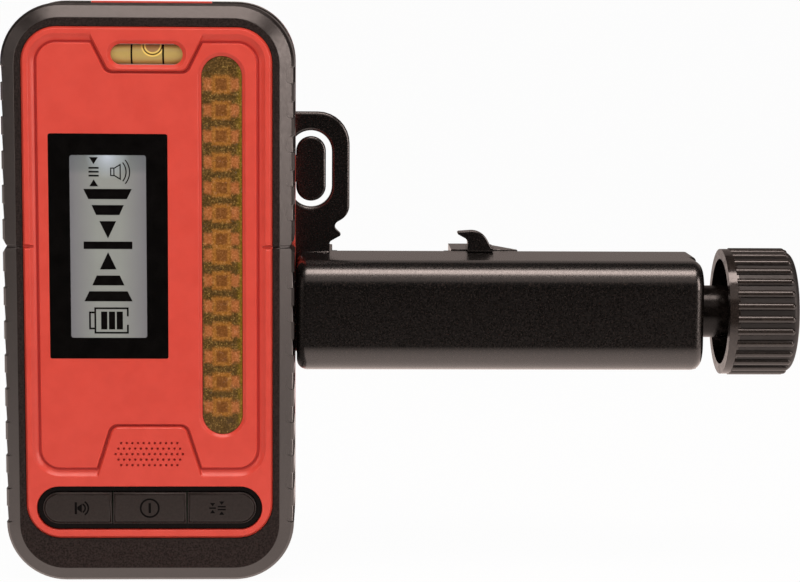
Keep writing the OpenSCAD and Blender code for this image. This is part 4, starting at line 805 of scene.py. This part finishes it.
VIAL_Z, VIAL_Y = middle("vial_tube", Z), middle("vial_tube", Y)
VIAL_R = (high("vial_tube", Z) - low("vial_tube", Z)) / 2
VIAL_SHOWN = 6.4
BUBBLE_X, BUBBLE_RISE, BUBBLE_SPAN = 1.6, 2.6, 4.0
LINE_W, LINE_RISE, LINE_SUNK = 0.5, 0.05, 0.02


def vial_fluid():
    """Yellow fluid with the bubble's rims painted in as highlight and shade rings, and painted light that
    makes it brighter towards the lower wall.
    """
    paint = Paint("vial_fluid", (0.5, 0.36, 0.1), 0.08, coat=1.0)
    x, _, z = paint.axes()
    share = paint.math("DIVIDE", paint.math("SUBTRACT", z, VIAL_Z - VIAL_SHOWN / 2), VIAL_SHOWN)
    deep, pale, top = (0.5, 0.44, 0.13), (0.58, 0.47, 0.16), (0.42, 0.31, 0.11)
    # painted light: paler through the middle and lower part, darker towards the top
    painted_shading = paint.ramp(share, (0.05, deep), (0.35, pale), (0.75, pale), (0.98, top))
    across = paint.math("SUBTRACT", x, BUBBLE_X)
    up = paint.math("SUBTRACT", z, VIAL_Z + BUBBLE_RISE)
    reach = paint.math("DIVIDE", paint.reach(across, up), BUBBLE_SPAN)
    # painted highlight and shade: the bubble's rims as pale and dark rings
    inside, rim_glint, line = (0.4, 0.25, 0.1), (0.95, 0.76, 0.2), (0.08, 0.045, 0.012)
    middle_rim = ((0.0, inside), (0.48, inside), (0.53, rim_glint), (0.59, rim_glint))
    outer_rim = ((0.64, line), (0.69, line), (0.73, rim_glint), (0.79, rim_glint))
    rims = paint.ramp(reach, *middle_rim, *outer_rim)
    cloud = paint.mix(paint.math("MULTIPLY", paint.noise(2.5), 0.25), painted_shading, (0.3, 0.24, 0.08))
    paint.color(paint.mix(paint.fade(reach, 0.79, 0.85), cloud, rims))
    return paint.material


def vial_end():
    paint = Paint("vial_end", (0.28, 0.2, 0.08), 0.15, coat=0.6)
    paint.mottle((0.24, 0.16, 0.07), (0.34, 0.25, 0.1), 1.5)
    return paint.material


fluid = vial_fluid()
paint_node("vial_tube", fluid)
paint_node("vial_liquid", fluid)
paint_node("vial_plugs", vial_end())


def vial_line(name, x, material, turns=48):
    """Thin band round the vial."""
    verts, faces = [], []
    left, right = x - LINE_W / 2, x + LINE_W / 2
    inner = VIAL_R - LINE_SUNK
    outer = inner + LINE_RISE
    section = [(left, inner), (left, outer), (right, outer), (right, inner)]
    n = len(section)
    for i in range(turns):
        a = 2 * math.pi * i / turns
        verts += [(px, VIAL_Y + r * math.cos(a), VIAL_Z + r * math.sin(a)) for px, r in section]
        for k in range(n):
            j = (k + 1) % n
            faces.append((i * n + k, i * n + j, (i + 1) % turns * n + j, (i + 1) % turns * n + k))
    return new_piece(name, verts, faces, material, ROOT, "dark_plastic")


line_ink = ink("line_ink")
vial_line("vial_line_left", -4.3, line_ink)
vial_line("vial_line_right", 4.55, line_ink)

# Keys

key_paint = key_plastic()
icon_ink = ink("icon_ink")
skin("key_frame", gloss_black(), 0.12, weigh=long_edges(0.3))
KEY_Y, KEY_Z = low("power_key", Y), middle("power_key", Z)
ICON_PROUD, ICON_SUNK = 0.03, 0.1
RING_LINE, WAVE_LINE, BAR_HALF = 0.5, 0.46, 0.2
SOUND_X, FINE_X, COARSE_X = -19.5, 18.0, 20.6
HORN = ((-1.2, -0.35), (0.1, -1.3), (0.1, 1.3), (-1.2, 0.35))


def key_icon(key, shapes):
    skin(key, key_paint, 0.45, segments=3, weigh=long_edges(0.2))
    inlay(key + "_icon", shapes, KEY_Y - ICON_PROUD, KEY_Y + ICON_SUNK, icon_ink, key, "gloss_black")


power_x = middle("power_key", X)
power = [band(power_x, KEY_Z, 2.6, RING_LINE, start, start + 180, 24) for start in (0, 180)]
power.append(box_outline(power_x - 0.34, power_x + 0.34, KEY_Z - 1.45, KEY_Z + 1.45))
key_icon("power_key", power)

sound = [box_outline(SOUND_X - 1.95, SOUND_X - 1.3, KEY_Z - 1.75, KEY_Z + 1.75)]
sound.append([(SOUND_X + side, KEY_Z + rise) for side, rise in HORN])
sound.append(band(SOUND_X - 0.3, KEY_Z, 1.35, WAVE_LINE, -62, 62))
sound.append(band(SOUND_X - 0.3, KEY_Z, 2.25, WAVE_LINE, -58, 58))
key_icon("sound_key", sound)

accuracy = [box_outline(FINE_X - 0.95, FINE_X + 0.95, KEY_Z - BAR_HALF, KEY_Z + BAR_HALF)]
for rise in (KEY_Z - 0.42, KEY_Z + 0.42):
    accuracy.append(box_outline(COARSE_X - 1.15, COARSE_X + 1.15, rise - BAR_HALF, rise + BAR_HALF))
for icon_x, gap in ((FINE_X, 0.5), (COARSE_X, 0.95)):
    for side in (1, -1):
        accuracy.append(wedge(icon_x, KEY_Z + side * gap, 0, KEY_Z + side * (gap + 1.0), 0.74))
key_icon("accuracy_key", accuracy)

# Clamp

KNOB_INSIDE, KNOB_END, RIM_LEAST = 17, KNOB_X1 - 5, 0.9
PLATE_FACES, PLATE_SLACK = (19.5, 23.5), 0.05
PLATE_FOOT = high("clamp_body", Z) - 41
LEG_X, SLOT_X, SLOT_Z = 41.8, 39.4, (111, 123)
SPIKE_X, SPIKE_Z, SPIKE_FADE = 51, 101.5, 4
TINY = 0.35
RIM_SHARE, BOX_SHARE, SPIKE_SHARE = 1.0, 0.3, 0.1


def clamp_edges(edge):
    """Bevel shares: full on the bracket plate's rim, fading to its spike, little elsewhere.

    Shares that jump on a curve would push the bevel's corners past each other.
    """
    ends = [v.co / MM for v in edge.verts]
    tiny = (ends[1] - ends[0]).length < TINY
    lowest = min(p.z for p in ends)
    leftmost = min(p.x for p in ends)
    if lowest < PLATE_FOOT and leftmost > LEG_X:
        return 0.0 if tiny else BOX_SHARE
    if leftmost < SLOT_X and all(SLOT_Z[0] < p.z < SLOT_Z[1] for p in ends):
        return SPIKE_SHARE
    by_spike = leftmost > SPIKE_X
    if by_spike and lowest < SPIKE_Z:
        return 0.0 if tiny else SPIKE_SHARE
    if not any(all(abs(p.y - y) < PLATE_SLACK for p in ends) for y in PLATE_FACES):
        return BOX_SHARE
    if not by_spike:
        return RIM_SHARE
    rise = (lowest - SPIKE_Z) / SPIKE_FADE
    return min(RIM_SHARE, SPIKE_SHARE + (RIM_SHARE - SPIKE_SHARE) * rise)


def knob_inside(face):
    """Tells the hub, the cup's inside and the rim's flat from the ribbed outside."""
    spot = face.calc_center_median() / MM
    inside = math.hypot(spot.y - KNOB_Y, spot.z - KNOB_Z) < KNOB_INSIDE and spot.x < KNOB_END
    return inside or face.normal.x < -RIM_LEAST


skin("clamp_body", black, 0.8, segments=3, weigh=clamp_edges)
skin("release_lever", black, 0.7, segments=3, weigh=long_edges(0.2))
skin("moving_jaw", black, 0.35, segments=3, weigh=long_edges(0.15))
skin("jaw_carriage", dark, 0.2, weigh=long_edges(0.4))
skin("end_plug", black, 0.2, weigh=long_edges(0.4))
# painted shade: the hub, the cup's inside and the rim's flat get the darker copy
skin(KNOB, knob_black(), 0, second=hub_shade_black(), where=knob_inside)
grip = pad_rubber()
skin("fixed_jaw_pad", grip, 0.12, weigh=long_edges(0.3))
skin("moving_jaw_pad", grip, 0.12, weigh=long_edges(0.3))
yellow = brass()
paint_node("jaw_nut", yellow)
paint_node("screw_bush", yellow)
for node in ("jaw_bolts", "end_plug_screws", "screw_clip", "knob_pin", "lever_pin"):
    paint_node(node, metal)

AXIS_Y, AXIS_Z = middle("lead_screw", Y), middle("lead_screw", Z)
THREAD_X0 = low("lead_screw", X) + 4
THREAD_X1 = low("screw_bush", X) - 4
THREAD_DEPTH, THREAD_LEAD, THREAD_STARTS = 0.7, 6.0, 2
CREST_HALF, FLANK_STEEPNESS = 0.16, 5.5
SPRING_WIRE, SPRING_TURNS, SPRING_STEPS = 0.29, 4, 24


def screw_steel():
    """Steel with a left-hand two-start thread between the plain ends; the thread's roots are painted darker
    as shade.
    """
    paint = Paint("screw_steel", (0.5, 0.49, 0.47), 0.3, metal=1.0)
    x, y, z = paint.axes()
    turn = paint.math("ARCTAN2", paint.math("SUBTRACT", z, AXIS_Z), paint.math("SUBTRACT", y, AXIS_Y))
    starts = paint.math("MULTIPLY", turn, THREAD_STARTS / (2 * math.pi))
    advance = paint.math("SUBTRACT", paint.math("DIVIDE", x, THREAD_LEAD / THREAD_STARTS), starts)
    crest = paint.math("SUBTRACT", paint.math("PINGPONG", advance, 0.5), CREST_HALF)
    flank = paint.math("MULTIPLY", crest, FLANK_STEEPNESS, True)
    after, before = paint.math("GREATER_THAN", x, THREAD_X0), paint.math("LESS_THAN", x, THREAD_X1)
    root = paint.math("MULTIPLY", flank, paint.math("MULTIPLY", after, before))
    # painted shade: darker colour in the thread's roots
    paint.color(paint.mix(root, (0.5, 0.49, 0.47), (0.12, 0.11, 0.1)))
    paint.bump(paint.math("SUBTRACT", 1.0, root), THREAD_DEPTH)
    return paint.gloss(0.2, 0.36, 1).material


def coil_spring(material):
    """Wound torsion spring on the lever's pin."""
    x, y = middle("lever_spring", X), middle("lever_spring", Y)
    z0, z1 = low("lever_spring", Z) + SPRING_WIRE, high("lever_spring", Z) - SPRING_WIRE
    radius = (high("lever_spring", X) - low("lever_spring", X)) / 2 - SPRING_WIRE
    count = SPRING_TURNS * SPRING_STEPS
    path = []
    for i in range(count + 1):
        a = 2 * math.pi * i / SPRING_STEPS
        z = z0 + (z1 - z0) * i / count
        path.append((x + radius * math.cos(a), y + radius * math.sin(a), z))
    curve = bpy.data.curves.new("lever_spring_coil", "CURVE")
    curve.dimensions = "3D"
    curve.bevel_depth = SPRING_WIRE * MM
    curve.bevel_resolution = 3
    spline = curve.splines.new("POLY")
    spline.points.add(len(path) - 1)
    for point, place in zip(spline.points, path):
        point.co = (*(Vector(place) * MM), 1.0)
    curve.materials.append(material)
    piece = bpy.data.objects.new("lever_spring_coil", curve)
    bpy.context.scene.collection.objects.link(piece)
    return finish_piece(piece, ROOT, "steel", ["lever_spring"])


paint_node("lead_screw", screw_steel())
coil_spring(metal)

# Stage

CAMERA_PITCH, CAMERA_YAW = math.radians(7.146), math.radians(1.856)
CAMERA_ROLL = math.radians(0.383)
CAMERA_AIM = Vector((0, -17, 13))
CAMERA_OFFSET = Vector((-71.85, 71.05, 638.59))
LENS, SENSOR = 100, 36
CENTRE = Vector((0.07, 0.0, 0.09))


def add_camera():
    """Camera that sees the object as the photograph does."""
    base = Matrix(((1, 0, 0), (0, 0, -1), (0, 1, 0)))
    tilt = Matrix.Rotation(CAMERA_ROLL, 3, "Z") @ Matrix.Rotation(CAMERA_PITCH, 3, "X")
    sight = tilt @ Matrix.Rotation(-CAMERA_YAW, 3, "Y") @ base
    data = bpy.data.cameras.new("camera")
    data.lens = LENS
    data.sensor_width = SENSOR
    data.sensor_fit = "HORIZONTAL"
    data.clip_start = 0.01
    camera = bpy.data.objects.new("camera", data)
    bpy.context.scene.collection.objects.link(camera)
    rows = (sight[0], -sight[1], -sight[2])
    pose = Matrix(rows).transposed().to_4x4()
    pose.translation = (CAMERA_AIM - sight.transposed() @ CAMERA_OFFSET) * MM
    camera.matrix_world = pose
    bpy.context.scene.camera = camera


def add_lamp(name, place, size, power, tint=(1, 1, 1), mirrored=True):
    """Soft box that faces the object. Where mirrored is False, gloss doesn't show it."""
    data = bpy.data.lights.new(name, "AREA")
    data.shape = "RECTANGLE"
    data.size, data.size_y = size
    data.energy = power
    data.color = tint
    lamp = bpy.data.objects.new(name, data)
    bpy.context.scene.collection.objects.link(lamp)
    lamp.location = place
    lamp.rotation_euler = (CENTRE - Vector(place)).to_track_quat("-Z", "Y").to_euler()
    lamp.visible_glossy = mirrored


class Stage:
    """Node helpers for the floor and the world."""

    def __init__(self, tree):
        self.tree = tree
        self.rays = self.node("ShaderNodeLightPath").outputs

    def node(self, kind):
        return self.tree.nodes.new(kind)

    def link(self, source, target):
        self.tree.links.new(source, target)

    def blend(self, factor, a, b):
        """Number that goes from a to b with a factor."""
        made = self.node("ShaderNodeMix")
        for socket, value in zip(made.inputs[:4], (factor, None, a, b)):
            if value is None:
                continue
            if isinstance(value, (int, float)):
                socket.default_value = value
            else:
                self.link(value, socket)
        return made.outputs[0]


FLOOR_HALF, FLOOR_BACK, FLOOR_CURVE, WALL_TOP = 3.0, 2.2, 0.6, 2.5
CURVE_STEPS = 12
FLOOR_GLOW = 0.97
FLOOR_GREY = (0.86, 0.86, 0.86, 1)
TABLE_START, TABLE_REACH = -0.5, 2.5
TABLE_MIRROR = ((0.0, 0.03), (0.09, 0.03), (0.18, 1.0), (0.36, 1.0), (0.8, 0.22))
WARM = (1.0, 0.82, 0.75)


def floor_material():
    """White for the eye with the object's shadow kept. Gloss shows a white table that ends in a dark room."""
    material = bpy.data.materials.new("floor")
    material.use_nodes = True
    tree = material.node_tree
    tree.nodes.clear()
    stage = Stage(tree)
    place = stage.node("ShaderNodeNewGeometry").outputs["Position"]
    split = stage.node("ShaderNodeSeparateXYZ")
    stage.link(place, split.inputs[0])
    share = stage.node("ShaderNodeMapRange")
    share.inputs["From Min"].default_value = TABLE_START
    share.inputs["From Max"].default_value = TABLE_START + TABLE_REACH
    stage.link(split.outputs["Y"], share.inputs["Value"])
    table = stage.node("ShaderNodeValToRGB")
    stops = table.color_ramp.elements
    while len(stops) < len(TABLE_MIRROR):
        stops.new(0.5)
    for stop, (position, level) in zip(stops, TABLE_MIRROR):
        stop.position = position
        stop.color = (*(level * tint for tint in WARM), 1.0)
    stage.link(share.outputs[0], table.inputs["Fac"])
    mirror = stage.rays["Is Glossy Ray"]
    hue = stage.node("ShaderNodeMix")
    hue.data_type = "RGBA"
    stage.link(mirror, hue.inputs[0])
    hue.inputs[6].default_value = (1, 1, 1, 1)
    stage.link(table.outputs["Color"], hue.inputs[7])
    glow = stage.node("ShaderNodeEmission")
    stage.link(hue.outputs[2], glow.inputs["Color"])
    seen = stage.blend(stage.rays["Is Camera Ray"], 0.0, FLOOR_GLOW)
    through = stage.blend(stage.rays["Is Transmission Ray"], seen, FLOOR_GLOW)
    matt = stage.node("ShaderNodeBsdfDiffuse")
    matt.inputs["Color"].default_value = FLOOR_GREY
    mixer = stage.node("ShaderNodeMixShader")
    stage.link(stage.blend(mirror, through, 1.0), mixer.inputs["Fac"])
    stage.link(matt.outputs[0], mixer.inputs[1])
    stage.link(glow.outputs[0], mixer.inputs[2])
    stage.link(mixer.outputs[0], stage.node("ShaderNodeOutputMaterial").inputs["Surface"])
    return material


def add_floor():
    """Pale floor that curves up into the backdrop."""
    bend = FLOOR_BACK - FLOOR_CURVE
    profile = [(-FLOOR_HALF, 0.0), (bend, 0.0)]
    for i in range(1, CURVE_STEPS + 1):
        a = math.radians(90 * i / CURVE_STEPS)
        profile.append((bend + FLOOR_CURVE * math.sin(a), FLOOR_CURVE * (1 - math.cos(a))))
    profile.append((FLOOR_BACK, WALL_TOP))
    verts = [(x, y, z) for y, z in profile for x in (-FLOOR_HALF, FLOOR_HALF)]
    faces = [(2 * i, 2 * i + 1, 2 * i + 3, 2 * i + 2) for i in range(len(profile) - 1)]
    mesh = bpy.data.meshes.new("floor")
    mesh.from_pydata(verts, [], faces)
    shade(mesh)
    mesh.materials.append(floor_material())
    floor = bpy.data.objects.new("floor", mesh)
    bpy.context.scene.collection.objects.link(floor)


WORLD_FILL, WORLD_MIRROR = 0.15, 0.02


def add_world():
    """White for the eye, a soft fill for matt faces and dark in gloss."""
    world = bpy.data.worlds.new("studio")
    bpy.context.scene.world = world
    world.use_nodes = True
    stage = Stage(world.node_tree)
    ground = world.node_tree.nodes["Background"]
    ground.inputs["Color"].default_value = (1, 1, 1, 1)
    dim = stage.blend(stage.rays["Is Glossy Ray"], WORLD_FILL, WORLD_MIRROR)
    stage.link(stage.blend(stage.rays["Is Camera Ray"], dim, 1.0), ground.inputs["Strength"])


bpy.context.scene.view_settings.view_transform = "Standard"
add_camera()
add_world()
add_floor()
add_lamp("top_box", (0.05, -0.27, 1.0), (0.9, 0.36), 5.9, WARM)
add_lamp("front_box", (0.05, -0.7, 0.76), (0.9, 0.5), 0.6, WARM)
add_lamp("left_box", (-0.71, -0.55, 0.2), (0.2, 0.8), 1.5, WARM)
add_lamp("right_box", (0.85, -0.55, 0.29), (0.3, 0.8), 3.6, WARM)
add_lamp("side_fill", (1.0, 0.2, 0.35), (0.4, 0.8), 1.2, mirrored=False)
add_lamp("front_fill", (-0.1, -1.3, 0.55), (0.9, 0.9), 4.7, WARM, mirrored=False)
